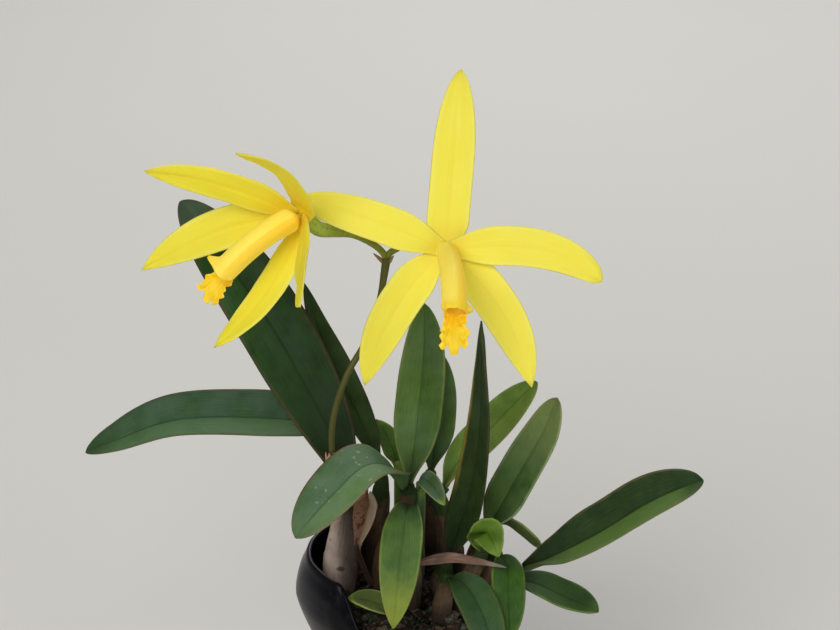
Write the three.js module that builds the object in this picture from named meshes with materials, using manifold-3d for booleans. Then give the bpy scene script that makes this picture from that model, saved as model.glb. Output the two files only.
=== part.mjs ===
// A potted cattleya in flower: a small rock-growing orchid in a soft black pot. Millimetres, +Z up.
// The origin is the middle of the pot's foot. The blooms and the front of the plant face -Y.
import * as THREE from 'three';
import { mergeVertices } from 'three/addons/utils/BufferGeometryUtils.js';
import Module from 'manifold-3d';

const wasm = await Module();
wasm.setup();

const GAP = 0.3;

// The pot: soft black plastic with a collar. Its wall stands higher and bulges at the left, between the
// angles riseFrom and riseTo, and falls off within riseOff degrees at each end. profile is [radius, height].
const POT = {
  profile: [[15, 0], [16.6, 14], [18.2, 28], [19.4, 32], [21.6, 36], [21.9, 38.5], [21.4, 40.6], [21, 41]],
  wall: 1.1, floor: 1.3, sides: 36,
  rise: 10.5, riseFrom: 128, riseTo: 236, riseOff: [34, 9], riseStarts: 30, riseEnds: 40.5,
  bulge: 2, bulgeHeight: 36,
  drainHoles: 4, drainRadius: 1.8, drainCircle: 10.5, drainSides: 10,
};

// The mix: bark and chips, heaped a little in the middle.
const MIX = {
  edgeHeight: 39.4, heap: 1.2, rings: 5, sides: 28, clear: 0.55, levels: [14, 28, 31, 34, 37],
  chips: 60, chipRadius: 3.4, chipRise: 1.5, seed: 41,
};

// The rhizome creeps half sunk in the mix, and each bulb stands on it.
const RHIZOME = { level: 39.9, radius: 1.5, sides: 5, ringsPerStep: 2, beyond: 0.6 };

// Bulbs: flask-shaped stems in old sheaths, stoutest at the share stoutAt of their length, and the plain
// holes in the mix that they stand in.
const BULB = { footLevel: 39.9, sides: 8, rings: 6, neck: 1.15, footShare: 0.62, stoutAt: 0.3 };
const SOCKET = { depth: 5.5, clear: 0.4, sides: 6 };

// Leaf blades: thickness on the midrib and at the edge, and the steep fold of the narrow leaf base.
const LEAF = {
  thick: 1.05, edgeThick: 0.7, baseFold: 58, baseShare: 0.2, foldOpensBy: 0.22, rows: 10, columns: 4,
};

// Each growth has one bulb and one leaf. foot is where its bulb stands, stout is the bulb's radius, rib is
// the leaf's midrib from the bulb's top to the tip, and faceFrom and faceTo say where the upper side looks.
const GROWTHS = [
  {
    name: 'tall_left', foot: [-14.4, 0], stout: 3.4,
    width: 15.8, fold: 20, full: 0.5, taper: 0.6, blunt: 0.6,
    rib: [[-13.6, 3, 61.7], [-14.9, 4, 72.8], [-22, 7, 87.5], [-33.2, 10, 106.5], [-46.6, 12, 125.2]],
    faceFrom: [0.15, -0.95, 0.3], faceTo: [0.4, -0.85, 0.35],
  },
  {
    name: 'slim_left', foot: [-7, 11], stout: 2.4, width: 7.4, fold: 24, full: 0.4, taper: 0.45, blunt: 0.8,
    rib: [[-6.4, 9.5, 65.6], [-8.3, 11, 71.9], [-13.8, 13, 83.8], [-19, 15, 95.5], [-21.8, 17, 105.3]],
    faceFrom: [0.4, -0.9, 0.2], faceTo: [0.6, -0.75, 0.3],
  },
  {
    name: 'level_left', foot: [-13, 8], stout: 2.6,
    width: 13.2, fold: 20, full: 0.35, taper: 0.5, blunt: 0.74,
    rib: [[-12.8, 11.5, 68.4], [-19.1, 13, 73.8], [-29.7, 14, 75.4], [-48.9, 15, 74.6], [-62.3, 15, 69.8],
      [-68.9, 15, 67.2]],
    faceFrom: [0.3, -0.5, 0.8], faceTo: [-0.1, -0.42, 0.9],
  },
  {
    name: 'centre', foot: [0, 5], stout: 2.6, width: 10.5, fold: 18, full: 0.4, taper: 0.5, blunt: 0.7,
    rib: [[0.4, 5, 64.9], [1.3, 6, 71.9], [2.5, 7, 82.9], [3.4, 8, 93.8], [3.4, 9, 103.8]],
    faceFrom: [-0.1, -0.95, 0.3], faceTo: [0, -0.9, 0.4],
  },
  {
    name: 'centre_back', foot: [4.5, 13.5], stout: 2.2,
    width: 8.6, fold: 18, full: 0.4, taper: 0.5, blunt: 0.7,
    rib: [[4.9, 12.5, 64.4], [5.9, 13.5, 73.8], [6.3, 14, 82.6], [5.9, 15, 91.3]],
    faceFrom: [0, -0.95, 0.3], faceTo: [0, -0.9, 0.4],
  },
  {
    name: 'twisted', foot: [6.5, -1], stout: 2.4,
    width: 7.8, fold: 16, full: 0.22, taper: 0.35, blunt: 0.85,
    rib: [[8.4, -2, 50.1], [11.4, -2.6, 59.5], [13.7, -3, 69.4], [15.2, -3, 81.9], [15.4, -2.6, 94],
      [15, -2, 104.4]],
    faceFrom: [-0.2, -0.97, 0.1], faceTo: [-0.95, -0.3, 0.1],
  },
  {
    name: 'pale_back', foot: [9.5, 9.5], stout: 2.4,
    width: 8.8, fold: 20, full: 0.4, taper: 0.5, blunt: 0.75,
    rib: [[8, 9, 62.1], [11, 10, 67.4], [16.6, 11.5, 73], [22.2, 12.5, 79], [27.2, 13, 84.4]],
    faceFrom: [-0.4, -0.75, 0.5], faceTo: [-0.4, -0.8, 0.45],
  },
  {
    name: 'pale_right', foot: [13, 4], stout: 2.3,
    width: 9.4, fold: 20, full: 0.32, taper: 0.5, blunt: 0.75,
    rib: [[16.6, 3, 54.2], [20, 3.6, 60.6], [24.8, 4.6, 69.6], [28.6, 5.6, 76.5], [31.2, 6.4, 83.6]],
    faceFrom: [-0.3, -0.9, 0.35], faceTo: [-0.35, -0.85, 0.4],
  },
  {
    name: 'long_right', foot: [16, 1.5], stout: 1.7,
    width: 13.4, fold: 22, full: 0.45, taper: 0.6, blunt: 0.66,
    rib: [[24.6, 1, 46.4], [30.8, 1, 49.2], [40.8, 1, 55], [51.2, 2, 61.6], [62, 3, 66.2]],
    faceFrom: [-0.4, -0.35, 0.85], faceTo: [-0.25, -0.4, 0.88],
  },
  {
    name: 'low_right', foot: [14.5, -8.5], stout: 1.7,
    width: 8.6, fold: 18, full: 0.45, taper: 0.55, blunt: 0.7,
    rib: [[21.2, -6, 47.4], [26.4, -7, 46.9], [32.4, -9.5, 45.2], [39.6, -12.4, 43.4]],
    faceFrom: [0.1, -0.3, 0.95], faceTo: [0.25, -0.35, 0.9],
  },
  {
    name: 'folded_front', foot: [10.5, -6.5], stout: 1.9,
    width: 7.4, fold: 14, full: 0.35, taper: 0.5, blunt: 0.8,
    rib: [[15.4, -6, 54.6], [15.7, -8, 59.4], [16.4, -12, 61.8], [17.4, -15.4, 61], [18.6, -16.8, 58.4]],
    faceFrom: [0, -0.6, -0.8], faceTo: [0.1, -0.85, 0.5],
  },
  {
    name: 'low_front', foot: [6.5, -11.5], stout: 1.9,
    width: 8.4, fold: 16, full: 0.4, taper: 0.5, blunt: 0.75,
    rib: [[8.9, -8.6, 48.4], [11.7, -12.4, 49.6], [15.1, -18, 46.6], [18.6, -23.6, 38.2]],
    faceFrom: [0, -0.3, 0.95], faceTo: [-0.2, -0.85, 0.5],
  },
  {
    name: 'low_front_right', foot: [15.5, -3.5], stout: 1.8,
    width: 7.4, fold: 18, full: 0.4, taper: 0.5, blunt: 0.75,
    rib: [[19, -4, 51.4], [20.4, -8, 51.9], [20.8, -13.4, 49], [20.8, -20, 40.8]],
    faceFrom: [0.1, -0.3, 0.95], faceTo: [0, -0.85, 0.5],
  },
  {
    name: 'yellow_front', foot: [0.6, -8], stout: 2.1,
    width: 8.8, fold: 14, full: 0.4, taper: 0.45, blunt: 0.8,
    rib: [[0.4, -7, 63.4], [-0.2, -10.6, 65.6], [-1.2, -17, 61.4], [-2, -22, 54.6], [-2.9, -26, 46.8]],
    faceFrom: [0, -0.4, 0.9], faceTo: [0, -0.9, 0.45],
  },
  {
    name: 'broad_left', foot: [-5.5, -2], stout: 2.5,
    width: 13, fold: 16, full: 0.45, taper: 0.55, blunt: 0.68,
    rib: [[-0.9, -3, 67.4], [-4, -6.4, 73.4], [-9, -10.6, 75.4], [-15.6, -16, 71.2], [-22.6, -21, 64.8]],
    faceFrom: [-0.3, -0.3, 0.9], faceTo: [-0.35, -0.7, 0.62],
  },
];

// Young shoots are green all over, so each is one body: a short stem that opens into its leaf.
const SHOOTS = [
  {
    name: 'small_back', foot: [-1, 16], stout: 1.6, width: 5, fold: 24, full: 0.4, taper: 0.5, blunt: 0.85,
    rib: [[-2.4, 17, 63.6], [-4.2, 17, 69.2], [-6.8, 17, 74]],
    faceFrom: [0.2, -0.9, 0.3], faceTo: [0.3, -0.85, 0.3],
  },
  {
    name: 'small_centre', foot: [1.6, -0.8], stout: 1.5,
    width: 6, fold: 26, full: 0.35, taper: 0.45, blunt: 0.8,
    rib: [[2.9, -0.9, 66.2], [3.6, -2.7, 69], [5.5, -6.2, 68.8], [7.7, -9.4, 66.5]],
    faceFrom: [-0.3, -0.3, 0.9], faceTo: [-0.3, -0.6, 0.7],
  },
  {
    name: 'small_low_left', foot: [-1.6, -12], stout: 1.5,
    width: 5.2, fold: 22, full: 0.4, taper: 0.5, blunt: 0.8,
    rib: [[-2.4, -12, 43], [-5.4, -12.6, 45], [-8.6, -13.2, 46.4], [-12.4, -14, 47.4]],
    faceFrom: [0, -0.6, 0.8], faceTo: [0, -0.6, 0.8],
  },
  {
    name: 'sliver_right', foot: [16.5, 8], stout: 1.7,
    width: 6, fold: 20, full: 0.4, taper: 0.5, blunt: 0.8,
    rib: [[18.8, 6.6, 54.8], [21.2, 6, 55.2], [24.4, 5.4, 53], [28.4, 4.6, 49.6]],
    faceFrom: [0.3, 0.3, 0.9], faceTo: [0.5, 0.5, 0.6],
  },
];

// The rhizome's runs, from bulb to bulb.
const RUNS = [
  ['level_left', 'tall_left', 'broad_left', 'yellow_front', 'small_centre'],
  [
    'small_back', 'slim_left', 'centre', 'small_centre', 'twisted', 'folded_front',
    'low_front_right', 'low_right',
  ],
  ['centre', 'centre_back', 'pale_back', 'pale_right', 'sliver_right'],
  ['pale_right', 'long_right'],
  ['yellow_front', 'small_low_left'],
  ['folded_front', 'low_front'],
];

// The flower stem leaves its sheath on the tall left bulb, and forks behind the front bloom.
const SCAPE = {
  route: [[-14.7, -0.9, 65], [-15.6, -0.8, 73.3], [-15.4, -0.6, 81.9], [-12.6, 0, 91.4], [-8.5, 2, 98.4],
    [-5.8, 3.5, 106.2], [-4.2, 4.6, 115.8]],
  radius: 0.66, sides: 7, steps: 17, forkSwell: 0.3,
  bracts: [
    { from: [-4.4, 4.6, 114.4], to: [-7, 3.9, 116.9], radius: 0.7 },
    { from: [-4.1, 4.6, 114.6], to: [-2.7, 2.6, 116.9], radius: 0.7 },
  ],
};
const SPATHE = {
  route: [[-14.6, -1, 63.6], [-15.2, -0.9, 69], [-15.7, -0.8, 74.4]], halfWidth: 2.9, roll: 125, thick: 0.6,
};
const DRY_SHEATH = {
  route: [[1.6, -9.9, 53.3], [8.2, -10.9, 55.2], [14, -11.8, 54.9], [20.4, -12.6, 53.8]],
  width: 2.4, fold: 24, thick: 0.6, face: [0, -0.85, 0.5],
};

// The bloom, in its own frame: x to the right, y to the dorsal sepal, z out of its face. Each segment
// sets out at turn degrees from the dorsal sepal, sweeps on by sweep, and leans forward by lean. late
// makes it sweep mostly towards its tip, and wide is its width against its kind's.
const BLOOM = {
  start: 1.75, segmentThick: 0.6, sepalLevel: -0.75, petalLevel: 0.15, steps: 48, rows: 10, columns: 4,
  columnRadius: 0.95, columnLength: 9, columnStraight: 0.7, ovaryDrop: 0.8, ovaryStraight: 1.6,
  stalkRadius: 0.72, ovaryRadius: 1.5,
  lipLevel: 0.95, lipThick: 0.6, lipRadius: 1.6, lipSteps: 12,
};
// The lip's half roll in degrees on its tube, at its mouth and on its front lobe, the shares of its length
// where the mouth opens and the waist ends, how much stouter the tube is from swollen on, and the half widths
// of waist and lobe.
const LIP = {
  tubeRoll: 173, mouthRoll: 150, lobeRoll: 40, mouth: [0.56, 0.67], waistEnd: 0.77,
  swell: 1.45, swollen: 0.55, waist: 1.95, lobe: 1.05, lobeStarts: 0.7, lobeSpan: 0.36,
  crisp: 0.5, crisps: 38, rows: 18, columns: 10,
};
// Each kind's greatest half width, then its outline from base to tip, how much its edges bow forward, and
// its waviness.
const KINDS = {
  dorsal_sepal: {
    halfWidth: 4.3, base: 0.6, full: 0.12, taper: 0.45, tip: 2.2, point: 0.65, bow: 0.08, wave: 0.15,
  },
  lateral_sepal: {
    halfWidth: 4.2, base: 0.37, full: 0.26, taper: 0.4, tip: 2.4, point: 0.9, bow: 0.05, wave: 0.15,
  },
  petal: {
    halfWidth: 4.0, base: 0.42, full: 0.3, taper: 0.35, tip: 1.6, point: 0.6, bow: 0.06, wave: 0.35,
  },
};
// The outline of a petal that stays broad almost to its end.
const BLUNT = { tip: 2.5, point: 0.5 };
const BLOOMS = [
  {
    name: 'front', hub: [7.6, -5, 121], out: [0, -0.93, 0.36], up: [0, 0.2, 1],
    segments: [
      { name: 'dorsal_sepal', kind: 'dorsal_sepal', turn: 5, sweep: 0, lean: [6, -12], length: 36.5 },
      {
        name: 'petal_right', kind: 'petal', turn: 84, sweep: 54, late: 1.9,
        lean: [18, 2], length: 33.4, outline: BLUNT,
      },
      {
        name: 'petal_left', kind: 'petal', turn: -65, sweep: -13,
        lean: [4, -19], length: 31.4, outline: BLUNT,
      },
      {
        name: 'lateral_sepal_left', kind: 'lateral_sepal', turn: -133, sweep: -35,
        lean: [0, 28], length: 33,
      },
      {
        name: 'lateral_sepal_right', kind: 'lateral_sepal', turn: 129, sweep: 40,
        lean: [10, 12], length: 33.5,
      },
    ],
    lip: { aside: 10, turn: -2, droop: [20, 65], length: 28.5, flare: [0.2, 1.5] },
    stalk: [[-3.2, 4.9, 116.9], [1.4, 5.6, 118.8], [5.4, 3.4, 119.6]],
  },
  {
    name: 'left', hub: [-21.8, -5.8, 128], out: [-0.57, -0.818, 0.073], up: [0.483, -0.262, 0.835],
    segments: [
      {
        name: 'dorsal_sepal', kind: 'dorsal_sepal', turn: -6.4, sweep: -39.5,
        lean: [36, 74], length: 34, wide: 0.92,
      },
      { name: 'petal_far', kind: 'petal', turn: -88, sweep: -19.5, lean: [36, 56], length: 33, wide: 0.92 },
      { name: 'petal_near', kind: 'petal', turn: 73.5, sweep: 13.5, lean: [51, 53], length: 33 },
      {
        name: 'lateral_sepal_far', kind: 'lateral_sepal', turn: -129, sweep: -45,
        lean: [23, 53], length: 34.5,
      },
      {
        name: 'lateral_sepal_near', kind: 'lateral_sepal', turn: 145, sweep: 24,
        lean: [29, 66], length: 33, wide: 0.8,
      },
    ],
    lip: { aside: -6.5, turn: 5, droop: [21, 74], length: 23.8, flare: [1.5, 0.5] },
    stalk: [[-5.2, 4.6, 117], [-6.6, 4.4, 118.4], [-8.8, 4, 119.9], [-11.6, 2.9, 121.5],
      [-14.8, 1, 122.7], [-17.9, -1.6, 124.3]],
  },
];

// Colours, roughness and metalness, as the photograph shows them.
const FINISH = {
  pot: [0x15131c, 0.45],
  mix: [0x2c2620, 0.95],
  rhizome: [0x8a7460, 0.8],
  bulb: [0xb59f92, 0.75],
  leaf: [0x3f5f35, 0.5],
  youngLeaf: [0x8fa83f, 0.5],
  stem: [0x6d6a2c, 0.5],
  spathe: [0xd8a893, 0.7],
  dry: [0xa98373, 0.8],
  yellow: [0xf6e23c, 0.5],
  gold: [0xf2c41a, 0.5],
};

const radians = THREE.MathUtils.degToRad;
const smooth = THREE.MathUtils.smoothstep;
const lerp = THREE.MathUtils.lerp;
const vector = (list) => new THREE.Vector3(...list);
const curveThrough = (points) => new THREE.CatmullRomCurve3(points.map(vector), false, 'catmullrom', 0.5);

/** A small seeded random source, so that every run places the same chips. */
function seededRandom(seed) {
  let state = seed;
  return () => {
    state = (state * 16807) % 2147483647;
    return state / 2147483647;
  };
}

/** Turns a closed mesh into a solid that can be cut and joined. */
function solidOf(geometry) {
  const bare = geometry.index ? geometry.toNonIndexed() : geometry.clone();
  bare.deleteAttribute('normal');
  bare.deleteAttribute('uv');
  const merged = mergeVertices(bare, 1e-4);
  return new wasm.Manifold(new wasm.Mesh({
    numProp: 3,
    vertProperties: new Float32Array(merged.attributes.position.array),
    triVerts: new Uint32Array(merged.index.array),
  }));
}

/** Turns a solid back into a mesh geometry. */
function geometryOf(solid) {
  const mesh = solid.getMesh();
  const geometry = new THREE.BufferGeometry();
  geometry.setAttribute('position', new THREE.BufferAttribute(Float32Array.from(mesh.vertProperties), 3));
  geometry.setIndex(new THREE.BufferAttribute(Uint32Array.from(mesh.triVerts), 1));
  geometry.computeVertexNormals();
  return geometry;
}

/** The one body of a joined solid: a sealed hollow is filled and a loose scrap dropped. */
function largest(solid) {
  return solid.decompose().reduce((best, body) => (body.volume() > best.volume() ? body : best));
}

function geometryFrom(points, faces) {
  const geometry = new THREE.BufferGeometry();
  geometry.setAttribute('position', new THREE.Float32BufferAttribute(points, 3));
  geometry.setIndex(faces);
  geometry.computeVertexNormals();
  return geometry;
}

/** Stations along a blade, closer together towards the tip. */
function stations(rows, crowding = 1.35) {
  return Array.from({ length: rows + 1 }, (_, i) => 1 - (1 - i / rows) ** crowding);
}

/**
 * A closed blade. surface(u, v) is its middle, u from base to tip and v from -1 to 1 across, and thick(u, v)
 * its thickness. Both faces are split into triangles alike.
 */
function bladeGeometry(surface, thick, rows, columns, crowding) {
  const alongs = stations(rows, crowding);
  const step = 1e-3;
  const points = [];
  for (const side of [1, -1]) {
    for (const u of alongs) {
      for (let j = 0; j <= columns; j += 1) {
        const v = -1 + (2 * j) / columns;
        const along = surface(Math.min(u + step, 1), v).sub(surface(Math.max(u - step, 0), v));
        const across = surface(u, Math.min(v + step, 1)).sub(surface(u, Math.max(v - step, -1)));
        const normal = along.cross(across).normalize();
        points.push(...surface(u, v).addScaledVector(normal, (side * thick(u, v)) / 2).toArray());
      }
    }
  }
  const line = columns + 1;
  const under = line * (rows + 1);
  const faces = [];
  for (let i = 0; i < rows; i += 1) {
    for (let j = 0; j < columns; j += 1) {
      const a = i * line + j;
      const b = a + line;
      faces.push(a, b, b + 1, a, b + 1, a + 1);
      faces.push(a + under, b + 1 + under, b + under, a + under, a + 1 + under, b + 1 + under);
    }
    const left = i * line;
    const right = left + columns;
    faces.push(left, left + under, left + line + under, left, left + line + under, left + line);
    faces.push(right, right + line + under, right + under, right, right + line, right + line + under);
  }
  const end = rows * line;
  for (let j = 0; j < columns; j += 1) {
    faces.push(j, j + 1 + under, j + under, j, j + 1, j + 1 + under);
    faces.push(end + j, end + j + under, end + j + 1 + under, end + j, end + j + 1 + under, end + j + 1);
  }
  return geometryFrom(points, faces);
}

/** A closed round stalk along a curve, radiusAt(t) thick at each ring. */
function stalkGeometry(curve, radiusAt, rings, sides) {
  const frames = curve.computeFrenetFrames(rings, false);
  const points = [];
  for (let i = 0; i <= rings; i += 1) {
    const t = i / rings;
    const centre = curve.getPointAt(t);
    for (let j = 0; j < sides; j += 1) {
      const angle = (2 * Math.PI * j) / sides;
      const point = centre.clone()
        .addScaledVector(frames.normals[i], Math.cos(angle) * radiusAt(t))
        .addScaledVector(frames.binormals[i], Math.sin(angle) * radiusAt(t));
      points.push(...point.toArray());
    }
  }
  points.push(...curve.getPointAt(0).toArray(), ...curve.getPointAt(1).toArray());
  const foot = sides * (rings + 1);
  const faces = [];
  for (let j = 0; j < sides; j += 1) {
    const k = (j + 1) % sides;
    for (let i = 0; i < rings; i += 1) {
      const a = i * sides;
      faces.push(a + j, a + k, a + sides + k, a + j, a + sides + k, a + sides + j);
    }
    const top = rings * sides;
    faces.push(foot, k, j, foot + 1, top + j, top + k);
  }
  return geometryFrom(points, faces);
}

/** Width share along a blade: up from its base to 1 where it is full, then in to the tip from taper on. */
function widthShare(u, { base, full, taper, tip, point }) {
  const rise = base + (1 - base) * Math.sin(Math.min(u / full, 1) * Math.PI / 2);
  const s = Math.max(u - taper, 0) / (1 - taper);
  return Math.max(rise * (1 - s ** tip) ** point, 0.07);
}

/** A leaf: a blade folded along its midrib, steeply at its narrow base and less towards the tip. */
function leafGeometry(leaf) {
  const curve = curveThrough(leaf.rib);
  const faceFrom = vector(leaf.faceFrom);
  const faceTo = vector(leaf.faceTo);
  const shape = { base: LEAF.baseShare, full: leaf.full, taper: leaf.taper, tip: 2.2, point: leaf.blunt };
  const surface = (u, v) => {
    const along = curve.getTangentAt(u);
    const face = faceFrom.clone().lerp(faceTo, u);
    face.addScaledVector(along, -face.dot(along)).normalize();
    const across = face.clone().cross(along);
    const fold = radians(lerp(LEAF.baseFold, leaf.fold, smooth(u, 0, LEAF.foldOpensBy)));
    const reach = (leaf.width / 2) * widthShare(u, shape);
    return curve.getPointAt(u)
      .addScaledVector(across, reach * v * Math.cos(fold))
      .addScaledVector(face, reach * Math.abs(v) ** 1.25 * Math.sin(fold));
  };
  const thick = (u, v) => lerp(LEAF.thick, LEAF.edgeThick, v * v);
  return bladeGeometry(surface, thick, LEAF.rows, LEAF.columns);
}

/** The bulb's line from its foot on the rhizome to just under the leaf. */
function bulbCurve(growth) {
  const top = vector(growth.rib[0]);
  const along = curveThrough(growth.rib).getTangentAt(0);
  const end = top.addScaledVector(along, -GAP);
  const foot = new THREE.Vector3(growth.foot[0], growth.foot[1], BULB.footLevel);
  const rise = (end.z - foot.z) * 0.45;
  const middle = foot.clone().lerp(end, 0.5);
  middle.x = lerp(middle.x, foot.x, 0.35);
  middle.y = lerp(middle.y, foot.y, 0.35);
  middle.z = foot.z + rise;
  const below = end.clone().addScaledVector(along, -Math.min(2.5, rise * 0.4));
  return new THREE.CatmullRomCurve3([foot, middle, below, end], false, 'catmullrom', 0.5);
}

/** A bulb is stout below its middle and narrows to a neck. */
function bulbGeometry(growth) {
  const radiusAt = (t) => {
    const { stoutAt } = BULB;
    const swell = t < stoutAt
      ? lerp(BULB.footShare, 1, Math.sin((t / stoutAt) * Math.PI / 2))
      : lerp(BULB.neck / growth.stout, 1, Math.cos(((t - stoutAt) / (1 - stoutAt)) * Math.PI / 2) ** 0.8);
    return growth.stout * swell;
  };
  return stalkGeometry(bulbCurve(growth), radiusAt, BULB.rings, BULB.sides);
}

/** Where a place of the pot's plain wall goes: up, and outwards below the rim, where the wall stands high. */
function risen(angle, radius, z) {
  const [before, after] = POT.riseOff;
  const on = smooth(angle, POT.riseFrom - before, POT.riseFrom);
  const share = on * (1 - smooth(angle, POT.riseTo - after, POT.riseTo + after));
  const hump = smooth(z, POT.riseStarts, POT.bulgeHeight) * (1 - smooth(z, POT.bulgeHeight, POT.riseEnds));
  return [radius + share * POT.bulge * hump, z + share * POT.rise * smooth(z, POT.riseStarts, POT.riseEnds)];
}

function degreesOf(x, y) {
  return THREE.MathUtils.euclideanModulo(THREE.MathUtils.radToDeg(Math.atan2(y, x)), 360);
}

/** Radius of the pot's inner wall at an angle and a height. */
function innerRadius(angle, height) {
  const wall = POT.profile.map(([radius, z]) => risen(angle, radius - POT.wall, z));
  const above = Math.max(1, wall.findIndex(([, z]) => z >= height));
  const [r0, z0] = wall[above - 1];
  const [r1, z1] = wall[above];
  return lerp(r0, r1, (height - z0) / (z1 - z0));
}

/** Turns a profile of [radius, height] round the Z axis. */
function turned(profile, sides) {
  const lathe = new THREE.LatheGeometry(profile.map(([r, z]) => new THREE.Vector2(r, z)), sides);
  return lathe.rotateX(Math.PI / 2);
}

function potGeometry() {
  const { profile, wall, floor } = POT;
  const inside = profile.slice(1, -1).map(([r, z]) => [r - wall, z]).reverse();
  const innerFoot = [profile[0][0] - wall, floor];
  const geometry = turned([[0, 0], ...profile, ...inside, innerFoot, [0, floor]], POT.sides);
  const position = geometry.attributes.position;
  for (let i = 0; i < position.count; i += 1) {
    const [x, y, z] = [position.getX(i), position.getY(i), position.getZ(i)];
    const plain = Math.hypot(x, y);
    const [radius, height] = risen(degreesOf(x, y), plain, z);
    const share = plain > 0 ? radius / plain : 1;
    position.setXYZ(i, x * share, y * share, height);
  }
  let solid = solidOf(geometry);
  for (let i = 0; i < POT.drainHoles; i += 1) {
    const angle = (2 * Math.PI * (i + 0.5)) / POT.drainHoles;
    const drill = new THREE.CylinderGeometry(POT.drainRadius, POT.drainRadius, POT.floor * 4, POT.drainSides);
    drill.rotateX(Math.PI / 2);
    drill.translate(POT.drainCircle * Math.cos(angle), POT.drainCircle * Math.sin(angle), 0);
    solid = solid.subtract(solidOf(drill));
  }
  return geometryOf(solid);
}

/** Height of the mix's surface, with its bark chips as tilted flats. */
function makeMixHeight() {
  const random = seededRandom(MIX.seed);
  const reach = innerRadius(0, MIX.edgeHeight);
  const chips = Array.from({ length: MIX.chips }, () => {
    const angle = 2 * Math.PI * random();
    const radius = reach * Math.sqrt(random());
    return {
      x: radius * Math.cos(angle),
      y: radius * Math.sin(angle),
      size: MIX.chipRadius * (0.6 + 0.6 * random()),
      rise: MIX.chipRise * random(),
      tiltX: 0.5 * (random() - 0.5),
      tiltY: 0.5 * (random() - 0.5),
    };
  });
  return (x, y) => {
    const bare = MIX.edgeHeight + MIX.heap * (1 - (Math.hypot(x, y) / reach) ** 2);
    const risen = chips
      .filter((chip) => Math.hypot(x - chip.x, y - chip.y) < chip.size)
      .map((chip) => chip.rise + chip.tiltX * (x - chip.x) + chip.tiltY * (y - chip.y));
    return bare + Math.max(0, ...risen);
  };
}

/** The mix fills the pot and has the chips on top; the sockets for rhizome and bulbs are cut from it. */
function mixGeometry(sockets) {
  const height = makeMixHeight();
  const levels = [POT.floor + GAP, ...MIX.levels];
  const tops = Array.from({ length: MIX.rings }, (_, i) => 1 - i / MIX.rings);
  const points = [0, 0, POT.floor + GAP];
  const faces = [];
  for (let j = 0; j < MIX.sides; j += 1) {
    const angle = (360 * j) / MIX.sides;
    const x = Math.cos(radians(angle));
    const y = Math.sin(radians(angle));
    for (const z of levels) {
      const radius = innerRadius(angle, z) - MIX.clear;
      points.push(radius * x, radius * y, z);
    }
    const brim = innerRadius(angle, MIX.edgeHeight) - MIX.clear;
    for (const share of tops) {
      const radius = brim * share;
      points.push(radius * x, radius * y, height(radius * x, radius * y));
    }
  }
  points.push(0, 0, height(0, 0));
  const ring = levels.length + tops.length;
  const peak = 1 + ring * MIX.sides;
  for (let j = 0; j < MIX.sides; j += 1) {
    const a = 1 + j * ring;
    const b = 1 + ((j + 1) % MIX.sides) * ring;
    faces.push(0, b, a);
    for (let i = 0; i < ring - 1; i += 1) {
      faces.push(a + i, b + i, b + i + 1, a + i, b + i + 1, a + i + 1);
    }
    faces.push(a + ring - 1, b + ring - 1, peak);
  }
  return geometryOf(largest(solidOf(geometryFrom(points, faces)).subtract(sockets)));
}

/** A plain hole for a bulb's foot. */
function socketOf(growth, clear) {
  const curve = bulbCurve(growth);
  const along = curve.getTangentAt(0);
  const bottom = curve.getPointAt(0).addScaledVector(along, -clear);
  const line = new THREE.LineCurve3(bottom, bottom.clone().addScaledVector(along, SOCKET.depth));
  return solidOf(stalkGeometry(line, () => growth.stout + SOCKET.clear + clear, 1, SOCKET.sides));
}

/** The rhizome's runs from foot to foot, joined in one body. */
function rhizomeSolid(feet, grow = 0) {
  const pieces = RUNS.map((run) => {
    const points = run.map((name) => new THREE.Vector3(...feet.get(name), RHIZOME.level));
    const ends = [points[0].clone().sub(points[1]), points.at(-1).clone().sub(points.at(-2))];
    points[0].addScaledVector(ends[0].normalize(), RHIZOME.beyond + grow);
    points.at(-1).addScaledVector(ends[1].normalize(), RHIZOME.beyond + grow);
    const curve = new THREE.CatmullRomCurve3(points, false, 'catmullrom', 0.5);
    const rings = (run.length - 1) * RHIZOME.ringsPerStep;
    return solidOf(stalkGeometry(curve, () => RHIZOME.radius + grow, rings, RHIZOME.sides));
  });
  return pieces.reduce((whole, piece) => whole.add(piece));
}

/** A rolled or folded sheath along a route, open along one side. */
function sheathGeometry({ route, halfWidth, roll, thick }, open) {
  const curve = curveThrough(route);
  const guide = vector(open);
  const surface = (u, v) => {
    const along = curve.getTangentAt(u);
    const face = guide.clone().addScaledVector(along, -guide.dot(along)).normalize();
    const across = face.clone().cross(along);
    const reach = halfWidth * (1 - 0.45 * smooth(u, 0.55, 1));
    const half = radians(roll) * (1 - 0.45 * smooth(u, 0.55, 1));
    const radius = reach / half;
    return curve.getPointAt(u)
      .addScaledVector(across, radius * Math.sin(half * v))
      .addScaledVector(face, -radius * Math.cos(half * v));
  };
  return bladeGeometry(surface, () => thick, 5, 7, 1.1);
}

function drySheathGeometry() {
  const curve = curveThrough(DRY_SHEATH.route);
  const guide = vector(DRY_SHEATH.face);
  const shape = { base: 0.35, full: 0.3, taper: 0.35, tip: 1.4, point: 0.9 };
  const fold = radians(DRY_SHEATH.fold);
  const surface = (u, v) => {
    const along = curve.getTangentAt(u);
    const face = guide.clone().addScaledVector(along, -guide.dot(along)).normalize();
    const across = face.clone().cross(along);
    const reach = (DRY_SHEATH.width / 2) * widthShare(u, shape);
    return curve.getPointAt(u)
      .addScaledVector(across, reach * v * Math.cos(fold))
      .addScaledVector(face, -reach * v * v * Math.sin(fold));
  };
  return bladeGeometry(surface, () => DRY_SHEATH.thick, 8, 4);
}

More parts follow.
